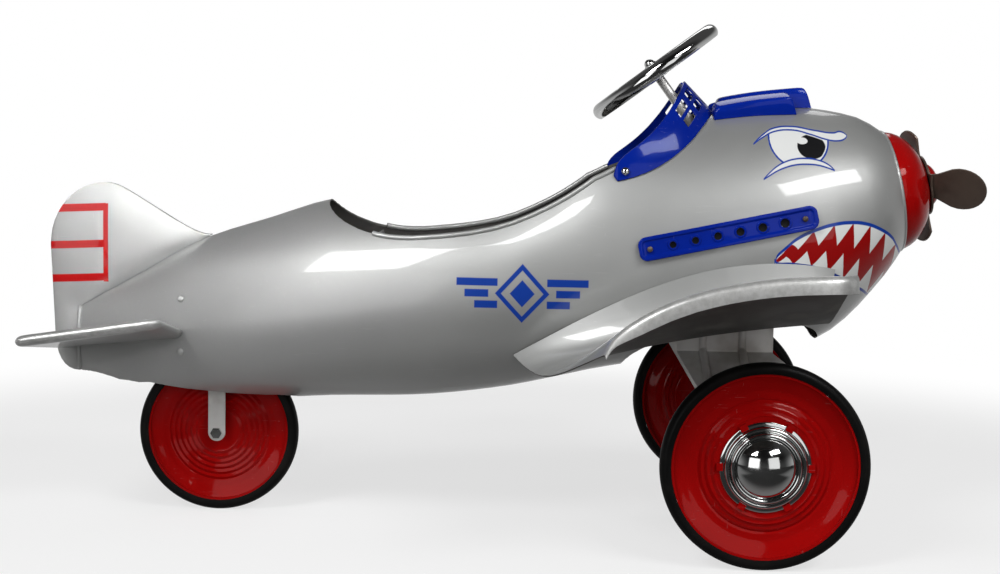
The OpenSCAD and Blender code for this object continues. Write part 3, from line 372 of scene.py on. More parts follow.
def new_material(name):
    """An empty material with one shader, and that shader's sockets."""
    material = bpy.data.materials.new(name)
    material.use_nodes = True
    tree = material.node_tree
    tree.nodes.clear()
    finish = Finish(tree)
    out = finish.add("ShaderNodeOutputMaterial")
    shader = finish.add("ShaderNodeBsdfPrincipled")
    tree.links.new(shader.outputs[0], out.inputs["Surface"])
    return material, finish, shader.inputs


def silver_base(f, place):
    """Colour, roughness and normal of the silver enamel, before any marking."""
    film = f.group(paint_film, Place=place)
    marks = f.group(handling_marks, Place=place, Amount=0.6)
    colour = f.mix(film["Drift"], SILVER_DEEP, SILVER_PALE)
    colour = f.mix(f.math("MULTIPLY", marks["Hairlines"], 0.25), colour, WORN_METAL)
    rough = f.math("ADD", f.span(film["Drift"], 0.3, 0.7, 0.43, 0.48),
                   f.math("MULTIPLY", marks["Rubbed"], 0.06))
    normal = f.bump(film["Peel"], 0.05, 0.0004)
    return colour, rough, normal


def finish_silver(s, colour, rough, normal, f, metallic=SILVER_METAL):
    """Feeds the shader of a silver enamel, under its thin clear coat."""
    f.feed(s["Base Color"], colour)
    f.feed(s["Roughness"], rough)
    f.feed(s["Metallic"], metallic)
    f.feed(s["Normal"], normal)
    s["Specular IOR Level"].default_value = 0.10
    s["Coat Weight"].default_value = 0.60
    s["Coat Roughness"].default_value = 0.03


def make_silver():
    material, f, s = new_material("silver_enamel")
    finish_silver(s, *silver_base(f, f.place()), f)
    return material


def make_enamel(name, colour, deep, sheen, roughness):
    material, f, s = new_material(name)
    place = f.place()
    film = f.group(paint_film, Place=place)
    marks = f.group(handling_marks, Place=place, Amount=0.5)
    tone = f.mix(f.span(film["Drift"], 0.3, 0.75), deep, colour)
    f.feed(s["Base Color"], f.mix(f.math("MULTIPLY", marks["Hairlines"], 0.12), tone, WORN_METAL))
    f.feed(s["Roughness"], f.math("ADD", roughness, f.math("MULTIPLY", marks["Rubbed"], 0.12)))
    f.feed(s["Normal"], f.bump(film["Peel"], 0.08, 0.0004))
    s["Specular IOR Level"].default_value = 0.10
    s["Specular Tint"].default_value = sheen
    s["Coat Weight"].default_value = 0.20
    s["Coat Roughness"].default_value = 0.04
    return material


def make_plating(name, tint, dull, roughness):
    material, f, s = new_material(name)
    place = f.place()
    marks = f.group(handling_marks, Place=place, Amount=1.0)
    speck = f.group(grain, Place=place, Scale=520.0)
    pits = f.span(speck["Grain"], 0.66, 0.74)
    f.feed(s["Base Color"], f.mix(f.math("MULTIPLY", pits, 0.5), tint, dull))
    f.feed(s["Roughness"], f.math("ADD", roughness, f.math("MULTIPLY", marks["Rubbed"], 0.12)))
    f.feed(s["Normal"], f.bump(marks["Hairlines"], 0.04, 0.0002))
    s["Metallic"].default_value = 1.0
    return material


def make_rubber(name, colour, dusty, scale, roughness):
    material, f, s = new_material(name)
    place = f.place()
    speck = f.group(grain, Place=place, Scale=scale)
    f.feed(s["Base Color"], f.mix(f.span(speck["Cloud"], 0.45, 0.75), colour, dusty))
    f.feed(s["Roughness"], f.span(speck["Cloud"], 0.3, 0.7, roughness - 0.08, roughness + 0.08))
    f.feed(s["Normal"], f.bump(speck["Grain"], 0.25, 0.0006))
    s["Specular IOR Level"].default_value = 0.10
    return material


def make_steel(name, colour, stained, roughness, metallic):
    material, f, s = new_material(name)
    place = f.place()
    speck = f.group(grain, Place=place, Scale=240.0)
    marks = f.group(handling_marks, Place=place, Amount=1.0)
    f.feed(s["Base Color"], f.mix(f.span(speck["Cloud"], 0.4, 0.75), colour, stained))
    f.feed(s["Roughness"], f.math("ADD", f.span(speck["Grain"], 0.2, 0.8, roughness - 0.1, roughness + 0.1),
                                  f.math("MULTIPLY", marks["Hairlines"], 0.1)))
    f.feed(s["Normal"], f.bump(speck["Grain"], 0.12, 0.0005))
    s["Metallic"].default_value = metallic
    return material


def below(f, value, limit, soft=0.0005):
    """One where value is under limit, with a soft edge."""
    return f.span(f.math("SUBTRACT", value, limit), -soft, soft, 1.0, 0.0)


def both(f, *masks):
    """One where all the masks are."""
    mask = masks[0]
    for other in masks[1:]:
        mask = f.math("MULTIPLY", mask, other)
    return mask


def either(f, *masks):
    """One where any of the masks is."""
    mask = masks[0]
    for other in masks[1:]:
        mask = f.math("MAXIMUM", mask, other)
    return mask


def away(f, value, centre):
    """Distance of a value from centre."""
    return f.math("ABSOLUTE", f.math("SUBTRACT", value, centre))


# Markings are placed from the hull's tail edge and its lowest point
MOUTH_X = (0.8729, 1.0729)
MOUTH_Z = (0.1300, 0.2500)
MOUTH_TOP = ((0.8729, 0.1850), (0.8808, 0.1972), (0.8830, 0.2030), (0.8922, 0.2122), (0.9096, 0.2263),
             (0.9379, 0.2385), (0.9530, 0.2425), (0.9693, 0.2447), (0.9909, 0.2438), (1.0137, 0.2364),
             (1.0315, 0.2258), (1.0403, 0.2160), (1.0529, 0.2040), (1.0729, 0.1950))
MOUTH_LOW = ((0.8729, 0.2030), (0.8808, 0.1978), (0.8835, 0.1948), (0.8985, 0.1941), (0.9136, 0.1927),
             (0.9294, 0.1903), (0.9529, 0.1823), (0.9729, 0.1730), (0.9849, 0.1665), (0.9993, 0.1591),
             (1.0129, 0.1510), (1.0729, 0.1330))
GAPE_START = MOUTH_X[0] + 0.002
LIP_START = MOUTH_X[0] + 0.006
LIP_TOP_HALF = 0.0022
LIP_LOW_HALF = 0.0019
LIP_OVERLAP = 0.003
TOOTH_PITCH = 0.0235
TOOTH_LEAN = 0.30
TOOTH_LEVEL = 0.20
TOOTH_BLUR = 0.01
FANG_REACH = 0.84
PEG_REACH = 0.90


def height_at(f, x, points, span_x, span_z):
    """Height of a drawn line at x, inside the box that span_x and span_z give."""
    reach, rise = span_x[1] - span_x[0], span_z[1] - span_z[0]
    along = f.math("DIVIDE", f.math("SUBTRACT", x, span_x[0]), reach)
    line = f.curve(along, [((px - span_x[0]) / reach, (pz - span_z[0]) / rise) for px, pz in points])
    return f.math("ADD", f.math("MULTIPLY", line, rise), span_z[0])


def make_mouth():
    """Open shark mouth: red gape, two rows of pale teeth and a blue lip line."""
    f, given, out = new_group("mouth_marking", [("Place", VECTOR)],
                              [("Gape", VALUE), ("Teeth", VALUE), ("Lip", VALUE)])
    x, _, z = f.axes(given["Place"])
    top, low = (height_at(f, x, line, MOUTH_X, MOUTH_Z) for line in (MOUTH_TOP, MOUTH_LOW))
    tall = f.math("MAXIMUM", f.math("SUBTRACT", top, low), 0.001)
    v = f.math("DIVIDE", f.math("SUBTRACT", z, low), tall)
    inside = both(f, below(f, z, top), below(f, low, z), below(f, GAPE_START, x))
    lean = f.math("MULTIPLY", f.math("SUBTRACT", z, TOOTH_LEVEL), TOOTH_LEAN)
    step = f.math("DIVIDE", f.math("SUBTRACT", x, lean), TOOTH_PITCH)
    fang = f.math("MULTIPLY", f.math("PINGPONG", step, 0.5), FANG_REACH)
    peg = f.math("MULTIPLY", f.math("PINGPONG", f.math("ADD", step, 0.5), 0.5), PEG_REACH)
    hanging = below(f, f.math("SUBTRACT", 1.0, v), fang, TOOTH_BLUR)
    standing = below(f, v, peg, TOOTH_BLUR)
    edge = either(f, below(f, away(f, z, top), LIP_TOP_HALF), below(f, away(f, z, low), LIP_LOW_HALF))
    between = below(f, low, f.math("ADD", top, LIP_OVERLAP))
    f.feed(out["Gape"], inside)
    f.feed(out["Teeth"], both(f, inside, either(f, hanging, standing)))
    f.feed(out["Lip"], both(f, edge, below(f, LIP_START, x), between))
    return f.tree


def oval(f, x, z, centre, radii):
    """Distance from an ellipse's middle, one on its edge."""
    across = f.math("POWER", f.math("DIVIDE", away(f, x, centre[0]), radii[0]), 2.0)
    up = f.math("POWER", f.math("DIVIDE", away(f, z, centre[1]), radii[1]), 2.0)
    return f.math("SQRT", f.math("ADD", across, up))


EYE = (0.9120, 0.3445)
EYE_X = (0.8540, 0.9740)
EYE_Z = (0.2900, 0.3650)
BROW_TOP = ((0.8560, 0.3372), (0.8690, 0.3492), (0.8830, 0.3575), (0.9060, 0.3600), (0.9340, 0.3555),
            (0.9570, 0.3530), (0.9660, 0.3548), (0.9740, 0.3500))
BROW_LOW = ((0.8560, 0.3372), (0.8690, 0.3462), (0.8830, 0.3532), (0.9060, 0.3556), (0.9280, 0.3505),
            (0.9470, 0.3447), (0.9600, 0.3432), (0.9690, 0.3452), (0.9740, 0.3500))
LID_TOP = ((0.8660, 0.2950), (0.8740, 0.3035), (0.8830, 0.3110), (0.8930, 0.3165), (0.9060, 0.3203),
           (0.9200, 0.3212), (0.9330, 0.3195), (0.9440, 0.3155), (0.9540, 0.3070))
LID_LOW = ((0.8660, 0.2950), (0.8740, 0.3000), (0.8830, 0.3054), (0.8930, 0.3097), (0.9060, 0.3132),
           (0.9200, 0.3142), (0.9330, 0.3133), (0.9440, 0.3106), (0.9540, 0.3070))
BROW_START = EYE_X[0] + 0.002
BALL_RADII = (0.0365, 0.0350)
PUPIL = (EYE[0] + 0.0150, EYE[1] - 0.0090)
PUPIL_RADII = (0.0175, 0.0150)
PUPIL_UNDER_BROW = 0.0022
GLINT = (EYE[0] + 0.0040, EYE[1] - 0.0020)
GLINT_RADII = (0.0068, 0.0042)
EYE_LINE_HALF = 0.0010


def make_eye():
    """A scowling eye: white ball and black pupil between a wavy brow and a lower lid, lined in blue."""
    f, given, out = new_group("eye_marking", [("Place", VECTOR)],
                              [("White", VALUE), ("Pupil", VALUE), ("Line", VALUE)])
    x, _, z = f.axes(given["Place"])
    brow_top, brow_low, lid_top, lid_low = (height_at(f, x, line, EYE_X, EYE_Z)
                                            for line in (BROW_TOP, BROW_LOW, LID_TOP, LID_LOW))
    ball = oval(f, x, z, EYE, BALL_RADII)
    open_part = both(f, below(f, z, brow_low), below(f, lid_top, z))
    white = both(f, open_part, below(f, ball, 1.0, 0.012))
    rim = both(f, open_part, below(f, away(f, ball, 1.0), 0.030, 0.010))
    pupil = both(f, below(f, oval(f, x, z, PUPIL, PUPIL_RADII), 1.0, 0.03),
                 below(f, z, f.math("SUBTRACT", brow_low, PUPIL_UNDER_BROW)), below(f, ball, 0.93, 0.012))
    glint = below(f, oval(f, x, z, GLINT, GLINT_RADII), 1.0, 0.06)
    in_brow = both(f, below(f, BROW_START, x), below(f, x, EYE_X[1]))
    in_lid = both(f, below(f, LID_TOP[0][0], x), below(f, x, LID_TOP[-1][0]))
    brow = both(f, below(f, z, brow_top), below(f, brow_low, z), in_brow)
    lid = both(f, below(f, z, lid_top), below(f, lid_low, z), in_lid)
    lines = rim
    for line, part in ((brow_top, in_brow), (brow_low, in_brow), (lid_top, in_lid), (lid_low, in_lid)):
        lines = either(f, lines, both(f, below(f, away(f, z, line), EYE_LINE_HALF), part))
    f.feed(out["White"], either(f, white, brow, lid))
    f.feed(out["Pupil"], both(f, pupil, f.math("SUBTRACT", 1.0, glint)))
    f.feed(out["Line"], lines)
    return f.tree


BADGE = (0.5770, 0.1520)
LOZENGE_HALF = (0.0330, 0.0360)
LOZENGE_INSIDE = 0.78
LOZENGE_CORE = 0.46
LOZENGE_BLUR = 0.02
# Each bar: its height over the middle, and its start and end to both sides of it
BADGE_BARS = ((0.0135, 0.030, 0.080), (0.0, 0.041, 0.070), (-0.0135, 0.030, 0.058))
BADGE_BAR_HALF = 0.0046


def make_badge():
    """Lozenge with stepped bars on both sides, in one blue."""
    f, given, out = new_group("badge_marking", [("Place", VECTOR)], [("Blue", VALUE)])
    x, _, z = f.axes(given["Place"])
    dx, dz = away(f, x, BADGE[0]), away(f, z, BADGE[1])
    slant = f.math("ADD", f.math("DIVIDE", dx, LOZENGE_HALF[0]), f.math("DIVIDE", dz, LOZENGE_HALF[1]))
    frame_line = both(f, below(f, slant, 1.0, LOZENGE_BLUR), below(f, LOZENGE_INSIDE, slant, LOZENGE_BLUR))
    core = below(f, slant, LOZENGE_CORE, LOZENGE_BLUR)
    low = f.math("SUBTRACT", z, BADGE[1])
    bars = [both(f, below(f, away(f, low, height), BADGE_BAR_HALF), below(f, start, dx), below(f, dx, end))
            for height, start, end in BADGE_BARS]
    f.feed(out["Blue"], either(f, frame_line, core, *bars))
    return f.tree


def hull_place(f, place):
    """A place counted from the hull's tail edge and its lowest point."""
    node = f.add("ShaderNodeVectorMath", operation="SUBTRACT")
    f.feed(node.inputs[0], place)
    node.inputs[1].default_value = (TAIL_X, 0.0, BELLY_Z)
    return node.outputs[0]


mouth_marking = make_mouth()
eye_marking = make_eye()
badge_marking = make_badge()


def make_hull_enamel():
    """Silver with the painted mouth, eye and badge."""
    material, f, s = new_material("hull_enamel")
    place = f.place()
    colour, rough, normal = silver_base(f, place)
    mouth = f.group(mouth_marking, Place=hull_place(f, place))
    eye = f.group(eye_marking, Place=hull_place(f, place))
    badge = f.group(badge_marking, Place=hull_place(f, place))["Blue"]
    colour = f.mix(mouth["Gape"], colour, SHADED_MOUTH_RED)
    colour = f.mix(either(f, mouth["Teeth"], eye["White"]), colour, MARK_WHITE)
    colour = f.mix(eye["Pupil"], colour, MARK_BLACK)
    colour = f.mix(either(f, mouth["Lip"], eye["Line"], badge), colour, MARK_BLUE)
    painted = either(f, mouth["Gape"], mouth["Lip"], eye["White"], eye["Line"], badge)
    finish_silver(s, colour, rough, normal, f, f.span(painted, 0.0, 1.0, SILVER_METAL, 0.0))
    return material


HINGE_X = 0.0350
HINGE_BAR_Z = 0.1950
HINGE_BAR_HALF = (0.0033, 0.0510)
CROSS_BARS_Z = (0.2415, 0.1940, 0.1505)
CROSS_BAR_HALF = 0.0050
CROSS_BAR_RISE = 0.05


def make_rudder_enamel():
    """Silver with a red hinge bar and three red cross bars."""
    material, f, s = new_material("rudder_enamel")
    place = f.place()
    colour, rough, normal = silver_base(f, place)
    x, _, z = f.axes(hull_place(f, place))
    bars = both(f, below(f, away(f, x, HINGE_X), HINGE_BAR_HALF[0]),
                below(f, away(f, z, HINGE_BAR_Z), HINGE_BAR_HALF[1]))
    for height in CROSS_BARS_Z:
        level = f.math("ADD", f.math("MULTIPLY", f.math("SUBTRACT", x, HINGE_X), CROSS_BAR_RISE), height)
        bars = either(f, bars, both(f, below(f, away(f, z, level), CROSS_BAR_HALF), below(f, x, HINGE_X)))
    colour = f.mix(bars, colour, MARK_RED)
    finish_silver(s, colour, rough, normal, f, f.span(bars, 0.0, 1.0, SILVER_METAL, 0.0))
    return material


# Wear starts this far out on the wings, and nearer on the tailplanes, which lie aft
WEAR_Y = 0.3945
WEAR_Y_AFT = -0.190
WEAR_RAGGED = 0.016
AFT_X = (-0.25, -0.20)


def make_wing_enamel():
    """Silver worn to bright mottled metal along the outer edge."""
    material, f, s = new_material("wing_enamel")
    place = f.place()
    colour, rough, normal = silver_base(f, place)
    x, y, _ = f.axes(place)
    ragged = f.noise(f.stretched(place, (60.0, 160.0, 160.0)), 1.0, 3.0, 0.6)
    mottle = f.noise(place, 120.0, 4.0, 0.65)
    tip = f.math("ADD", f.math("ABSOLUTE", y), f.math("MULTIPLY", ragged, WEAR_RAGGED))
    aft = f.span(x, *AFT_X, 1.0, 0.0)
    edge = f.math("ADD", WEAR_Y, f.math("MULTIPLY", aft, WEAR_Y_AFT))
    worn = below(f, edge, tip, 0.004)
    colour = f.mix(worn, colour, f.mix(f.span(mottle, 0.30, 0.70), WORN_DULL, WORN_METAL))
    rough = f.math("SUBTRACT", rough, f.math("MULTIPLY", worn, 0.06))
    finish_silver(s, colour, rough, normal, f, f.span(worn, 0.0, 1.0, SILVER_METAL, 0.65))
    return material


silver = make_silver()
hull_enamel = make_hull_enamel()
rudder_enamel = make_rudder_enamel()
wing_enamel = make_wing_enamel()
blue = make_enamel("blue_enamel", BLUE, BLUE_DEEP, (0.35, 0.50, 1.0, 1), 0.16)
red = make_enamel("red_enamel", RED, RED_DEEP, (1.0, 0.30, 0.25, 1), 0.14)
chrome = make_plating("chrome_plate", (0.58, 0.585, 0.58, 1), (0.24, 0.22, 0.19, 1), 0.07)
tyre_rubber = make_rubber("tyre_rubber", (0.004, 0.004, 0.004, 1), (0.009, 0.008, 0.007, 1), 420.0, 0.44)
pedal_rubber = make_rubber("pedal_rubber", (0.016, 0.016, 0.016, 1), (0.040, 0.037, 0.033, 1), 300.0, 0.62)
bush_plastic = make_rubber("bush_plastic", (0.020, 0.020, 0.021, 1), (0.035, 0.034, 0.032, 1), 500.0, 0.5)
bare_steel = make_steel("bare_steel", (0.80, 0.79, 0.77, 1), (0.52, 0.49, 0.45, 1), 0.40, 0.7)
# Dark grey for the hull's inside and the wings' undersides: painted shade where the shade falls.
painted_shade = make_rubber("painted_shade", (0.085, 0.082, 0.078, 1), (0.150, 0.143, 0.133, 1), 260.0, 0.55)
hanger_steel = make_steel("hanger_steel", (0.64, 0.63, 0.61, 1), (0.40, 0.38, 0.35, 1), 0.42, 0.30)
blade_steel = make_steel("blade_steel", (0.125, 0.088, 0.068, 1), (0.064, 0.045, 0.035, 1), 0.40, 0.45)


# Hull

TAIL_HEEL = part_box("tail_fin")[0][2] + 0.004
CORE_Z = 0.068
CORE_CLIMB = 0.205
COCKPIT_X = (-0.17, 0.13)
COCKPIT_Z = 0.33
CORNER_ANGLE = 0.6
COCKPIT_BEAD_R = 0.0034
TAIL_BEAD_R = 0.0030
SEAM_BEAD_R = 0.0026
SEAM_END = TAIL_X + 0.158
SEAM_HALF = 0.0008
UNDERSIDE = -0.35


def core_z(x):
    """Height of the hull's middle at x."""
    return BELLY_Z + CORE_Z + CORE_CLIMB * (x - TAIL_X)


def skin_out(edge):
    """True where an edge joins the outer skin, and not the inner one."""
    spot = middle(edge)
    out = Vector((0, spot.y, spot.z - core_z(spot.x)))
    return max(face.normal.dot(out) for face in edge.link_faces) > 0.4 * out.length


def cockpit_rim(edge):
    """Upper edge of the cockpit opening."""
    spot = middle(edge)
    if not (COCKPIT_X[0] < spot.x < COCKPIT_X[1] and spot.z > COCKPIT_Z):
        return False
    steep = min(abs(face.normal.z) for face in edge.link_faces)
    level = max(face.normal.z for face in edge.link_faces)
    return edge.calc_face_angle() > CORNER_ANGLE and steep < 0.1 and level > 0.12


def tail_edge(edge):
    """Outer edge of the hull's open tail, above the heel."""
    ends = [v.co.x for v in edge.verts]
    if min(v.co.z for v in edge.verts) < TAIL_HEEL:
        return False
    return max(ends) < TAIL_X + 0.001 and edge.calc_face_angle() > CORNER_ANGLE and skin_out(edge)


def inner_faces_painted_shade(piece):
    """The inside of the shell is painted dark grey, a painted shade for the shade that falls inside it."""
    piece.data.materials.append(painted_shade)
    for face in piece.data.polygons:
        out = Vector((0, face.center.y, face.center.z - core_z(face.center.x)))
        if face.normal.dot(out) < 0:
            face.material_index = 1


def underside_painted_shade(piece):
    """A wing's hollow underside is painted dark grey, a painted shade for the shade under the wing."""
    piece.data.materials.append(painted_shade)
    for face in piece.data.polygons:
        if face.normal.z < UNDERSIDE:
            face.material_index = 1


for side in ("left", "right"):
    hull = sheet_copy(f"fuselage_{side}", f"hull_{side}")
    dress(hull, "hull", hull_enamel, "silver_paint", f"fuselage_{side}")
    inner_faces_painted_shade(hull)
    cockpit_bead = edge_bead(hull, f"cockpit_bead_{side}", cockpit_rim, COCKPIT_BEAD_R)
    dress(cockpit_bead, "hull", silver, "silver_paint")
    tail_bead = edge_bead(hull, f"tail_bead_{side}", tail_edge, TAIL_BEAD_R)
    dress(tail_bead, "hull", silver, "silver_paint")
    wing = rounded_copy(f"wing_{side}", f"wing_sheet_{side}")
    dress(wing, "hull", wing_enamel, "silver_paint", f"wing_{side}")
    underside_painted_shade(wing)
    plane = rounded_copy(f"tailplane_{side}", f"tailplane_sheet_{side}", levels=1)
    dress(plane, "hull", wing_enamel, "silver_paint", f"tailplane_{side}")


FIN_CROWN = 0.0055
FIN_ROLL = 0.055
FIN_FOOT_ROLL = 0.020
FIN_GRID = 0.008
FIN_EDGE = 0.0030
CREASE_DEPTH = 0.0018
CREASE_HALF = 0.0045


def gap_to(spot, edges):
    """Distance from a spot to the nearest of these outline edges, seen from the side."""
    best = 1.0
    for a, b in edges:
        run = b - a
        t = max(0.0, min(1.0, (spot - a).dot(run) / max(run.length_squared, 1e-12)))
        best = min(best, (a + run * t - spot).length)
    return best


def rolled(distance, width):
    """Rise of a pressed sheet from zero at its edge to one at this width."""
    return 1 - (1 - min(1.0, distance / width)) ** 2


def crowned_fin():
    """Fin pressed full between its edges, with a crease where the rudder hinges."""
    piece = merged_copy("tail_fin", "fin_stamping")
    low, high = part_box("tail_fin")
    edges = {True: [], False: []}
    for face in piece.data.polygons:
        if abs(face.normal.y) < 0.5:
            flat = [Vector((v.x, 0, v.z)) for v in (piece.data.vertices[i].co for i in face.vertices)]
            edges[face.normal.z < -0.5].append(max(((a, b) for a in flat for b in flat),
                                                   key=lambda pair: (pair[0] - pair[1]).length))
    edit(piece)
    for axis, start, end in ((0, low[0], high[0]), (2, low[2], high[2])):
        way = Vector((axis == 0, 0, axis == 2))
        for i in range(1, int((end - start) / FIN_GRID)):
            select_mesh()
            bpy.ops.mesh.bisect(plane_co=way * (start + i * FIN_GRID), plane_no=way)
    leave()
    for vertex in piece.data.vertices:
        spot = Vector((vertex.co.x, 0, vertex.co.z))
        full = rolled(gap_to(spot, edges[False]), FIN_ROLL) * rolled(gap_to(spot, edges[True]), FIN_FOOT_ROLL)
        hinge = min(1.0, abs(spot.x - TAIL_X - HINGE_X) / CREASE_HALF)
        rise = FIN_CROWN * full - CREASE_DEPTH * (1 - hinge) * full
        vertex.co.y += math.copysign(rise, vertex.co.y)
    break_edges(piece, FIN_EDGE, 4, 50)
    smooth(piece)
    return piece


dress(crowned_fin(), "hull", rudder_enamel, "silver_paint", "tail_fin")


def ridge(edge):
    """Top seam of the hull under the fin."""
    if middle(edge).x > SEAM_END or max(abs(v.co.y) for v in edge.verts) > SEAM_HALF:
        return False
    return max(face.normal.z for face in edge.link_faces) > 0.3


seam_bead = edge_bead(bpy.data.objects["hull_left"], "fin_seam_bead", ridge, SEAM_BEAD_R)
dress(seam_bead, "hull", silver, "silver_paint")


# Nose

NOSE_LIP_R = 0.0772
NOSE_LIP_HALF = 0.0020
NOSE_LIP_DEEPER = 1.6


def joint_line(name):
    """A point on a joint's axis, and its direction."""
    joint = next(j for j in frame["joints"] if j["name"] == name)
    return Vector(joint["pos_m"]), Vector(joint["axis"]).normalized()


def nose_lip():
    """Rolled lip of the hull round the red dome."""
    at, axis = joint_line("propeller_spin")
    deselect()
    bpy.ops.mesh.primitive_torus_add(major_radius=NOSE_LIP_R, minor_radius=NOSE_LIP_HALF,
                                     major_segments=96, minor_segments=12)
    lip_ring = bpy.context.object
    lip_ring.name = "nose_lip"
    edit(lip_ring)
    select_mesh()
    bpy.ops.transform.resize(value=(1, 1, NOSE_LIP_DEEPER))
    leave()
    set_place(lip_ring, Matrix.Translation(at) @ turned_to(axis))
    smooth(lip_ring, 60)
    return lip_ring


dress(nose_lip(), "hull", silver, "silver_paint")
dress(sheet_copy("nose_cone", "nose_dome", 50), "hull", red, "red_paint", "nose_cone")
dress(sheet_copy("spinner_cap", "spinner_dome", 50), "propeller", red, "red_paint", "spinner_cap")
dress(bevelled_copy("propeller", "propeller_blades", 0.0009, 3), "propeller", blade_steel, "bare_steel",
      "propeller")

# Trim on the cowl
dress(rounded_copy("windshield", "windshield_sheet", 1, 50, 0.7), "hull", blue, "blue_paint", "windshield")
for gun in ("gun_centre", "gun_left", "gun_right"):
    dress(rounded_copy(gun, f"{gun}_cover", 2, 40, 0.35), "hull", blue, "blue_paint", gun)

EXHAUST_LEN = 0.219
EXHAUST_H = 0.029
EXHAUST_CLIMB = math.atan(0.21)
EXHAUST_CORNER = 0.010
EXHAUST_STEPS = 14
EXHAUST_GAP = 0.0006
EXHAUST_THICK = 0.0070
EXHAUST_OUTSIDE_Y = -0.25
BORDER_W = 0.0045
BORDER_SLOPE = 0.0012
BORDER_H = 0.0020
RING_STANDOFF = 0.0010
RING_HALF = 0.0016
DRILL_DEPTH = 0.010
DRILL_OUT = 0.0008
BORE_SLACK = 0.0003
# Each port: its place along the panel, as a share of the length, and its bore's radius
PORTS = [(-0.31 + 0.125 * i, 0.0043 + 0.0003 * i) for i in range(6)]


def faces_facing(piece, way, least=0.9):
    """Enters edit mode with the faces that look along way selected."""
    edit(piece)
    bpy.ops.mesh.select_mode(type="FACE")
    bpy.ops.mesh.select_all(action="DESELECT")
    shape = bmesh.from_edit_mesh(piece.data)
    for face in shape.faces:
        face.select_set(face.normal.dot(Vector(way)) > least)
    bmesh.update_edit_mesh(piece.data)


def join(name, *parts):
    """Makes the parts one piece."""
    deselect()
    for part in parts:
        part.select_set(True)
    bpy.context.view_layer.objects.active = parts[0]
    bpy.ops.object.join()
    parts[0].name = name
    return parts[0]


def mirrored(piece, name):
    """The same piece for the other side."""
    other = bpy.data.objects.new(name, piece.data.copy())
    scene.collection.objects.link(other)
    other.data.transform(Matrix.Scale(-1, 4, (0, 1, 0)))
    other.data.flip_normals()
    return other


def exhaust_lay():
    """Turns the panel upright along the hull's right side."""
    low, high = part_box("exhaust_right")
    centre = Vector(((low[0] + high[0]) / 2, EXHAUST_OUTSIDE_Y, (low[2] + high[2]) / 2))
    return (Matrix.Translation(centre) @ Matrix.Rotation(-EXHAUST_CLIMB, 4, "Y")
            @ Matrix.Rotation(math.radians(90), 4, "X"))


def exhaust_panel(hull):
    """Round-ended cover laid on the hull's right side, with a raised border and six ringed ports."""
    lay = exhaust_lay()
    deselect()
    bpy.ops.mesh.primitive_plane_add(size=1.0)
    panel = bpy.context.object
    edit(panel)
    select_mesh()
    bpy.ops.transform.resize(value=(EXHAUST_LEN, EXHAUST_H, 1))
    bpy.ops.mesh.bevel(offset=EXHAUST_CORNER, segments=6, affect="VERTICES")
    for i in range(1, EXHAUST_STEPS):
        select_mesh()
        bpy.ops.mesh.bisect(plane_co=((i / EXHAUST_STEPS - 0.5) * EXHAUST_LEN, 0, 0), plane_no=(1, 0, 0))
    leave()
    set_place(panel, lay)
    apply(panel, "SHRINKWRAP", wrap_method="PROJECT", target=hull, use_project_y=True,
          use_positive_direction=True, use_negative_direction=False, offset=EXHAUST_GAP)
    apply(panel, "SOLIDIFY", thickness=EXHAUST_THICK, offset=1.0)
    faces_facing(panel, (0, -1, 0), 0.8)
    bpy.ops.mesh.inset(thickness=BORDER_W, depth=0.0)
    bpy.ops.mesh.inset(thickness=BORDER_SLOPE, depth=-BORDER_H)
    leave()
    break_edges(panel, 0.0012)
    rings = []
    for along, bore in PORTS:
        spot = lay @ Vector((along * EXHAUST_LEN, 0, 0))
        face = panel.ray_cast(spot, (0, 1, 0))[1]
        deselect()
        bpy.ops.mesh.primitive_torus_add(major_radius=bore + RING_STANDOFF, minor_radius=RING_HALF,
                                         major_segments=36, minor_segments=10, location=face,
                                         rotation=(math.radians(90), 0, 0))
        ring = bpy.context.object
        deselect()
        bpy.ops.mesh.primitive_cylinder_add(vertices=36, radius=bore, depth=DRILL_DEPTH,
                                            location=face + Vector((0, -DRILL_OUT, 0)),
                                            rotation=(math.radians(90), 0, 0))
        drill = bpy.context.object
        for part in (ring, drill):
            set_place(part, Matrix.Identity(4))
        apply(panel, "BOOLEAN", operation="DIFFERENCE", object=drill, solver="EXACT")
        bpy.data.objects.remove(drill)
        rings.append(ring)
    panel = join("exhaust_cover_right", panel, *rings)
    smooth(panel, 35)
    return panel


def ports_painted_shade(panel):
    """The bores are painted black: painted shade in the deep holes."""
    panel.data.materials.append(bush_plastic)
    lay = exhaust_lay()
    for along, bore in PORTS:
        spot = lay @ Vector((along * EXHAUST_LEN, 0, 0))
        for face in panel.data.polygons:
            corners = (panel.data.vertices[i].co for i in face.vertices)
            if max(math.hypot(c.x - spot.x, c.z - spot.z) for c in corners) < bore + BORE_SLACK:
                face.material_index = 1


cover = exhaust_panel(bpy.data.objects["hull_right"])
for panel, side in ((mirrored(cover, "exhaust_cover_left"), "left"), (cover, "right")):
    dress(panel, "hull", blue, "blue_paint", f"exhaust_{side}")
    ports_painted_shade(panel)

# Running gear
dress(bevelled_copy("tail_fork", "fork_strap", 0.0012), "fork", hanger_steel, "silver_paint", "tail_fork")
for side, body in (("right", "crank"), ("left", "free_wheel")):
    dress(sheet_copy(f"front_disc_{side}", f"disc_{side}", 35), body, red, "red_paint", f"front_disc_{side}")
    dress(sheet_copy(f"front_tyre_{side}", f"tyre_{side}", 50), body, tyre_rubber, "tyre_rubber",
          f"front_tyre_{side}")
    dress(bevelled_copy(f"hanger_{side}", f"hanger_plate_{side}", 0.0010), "hull", hanger_steel,
          "silver_paint", f"hanger_{side}")
    dress(bevelled_copy(f"pedal_{side}", f"pedal_block_{side}", 0.0012), f"{side}_pedal", pedal_rubber,
          "pedal_rubber", f"pedal_{side}")


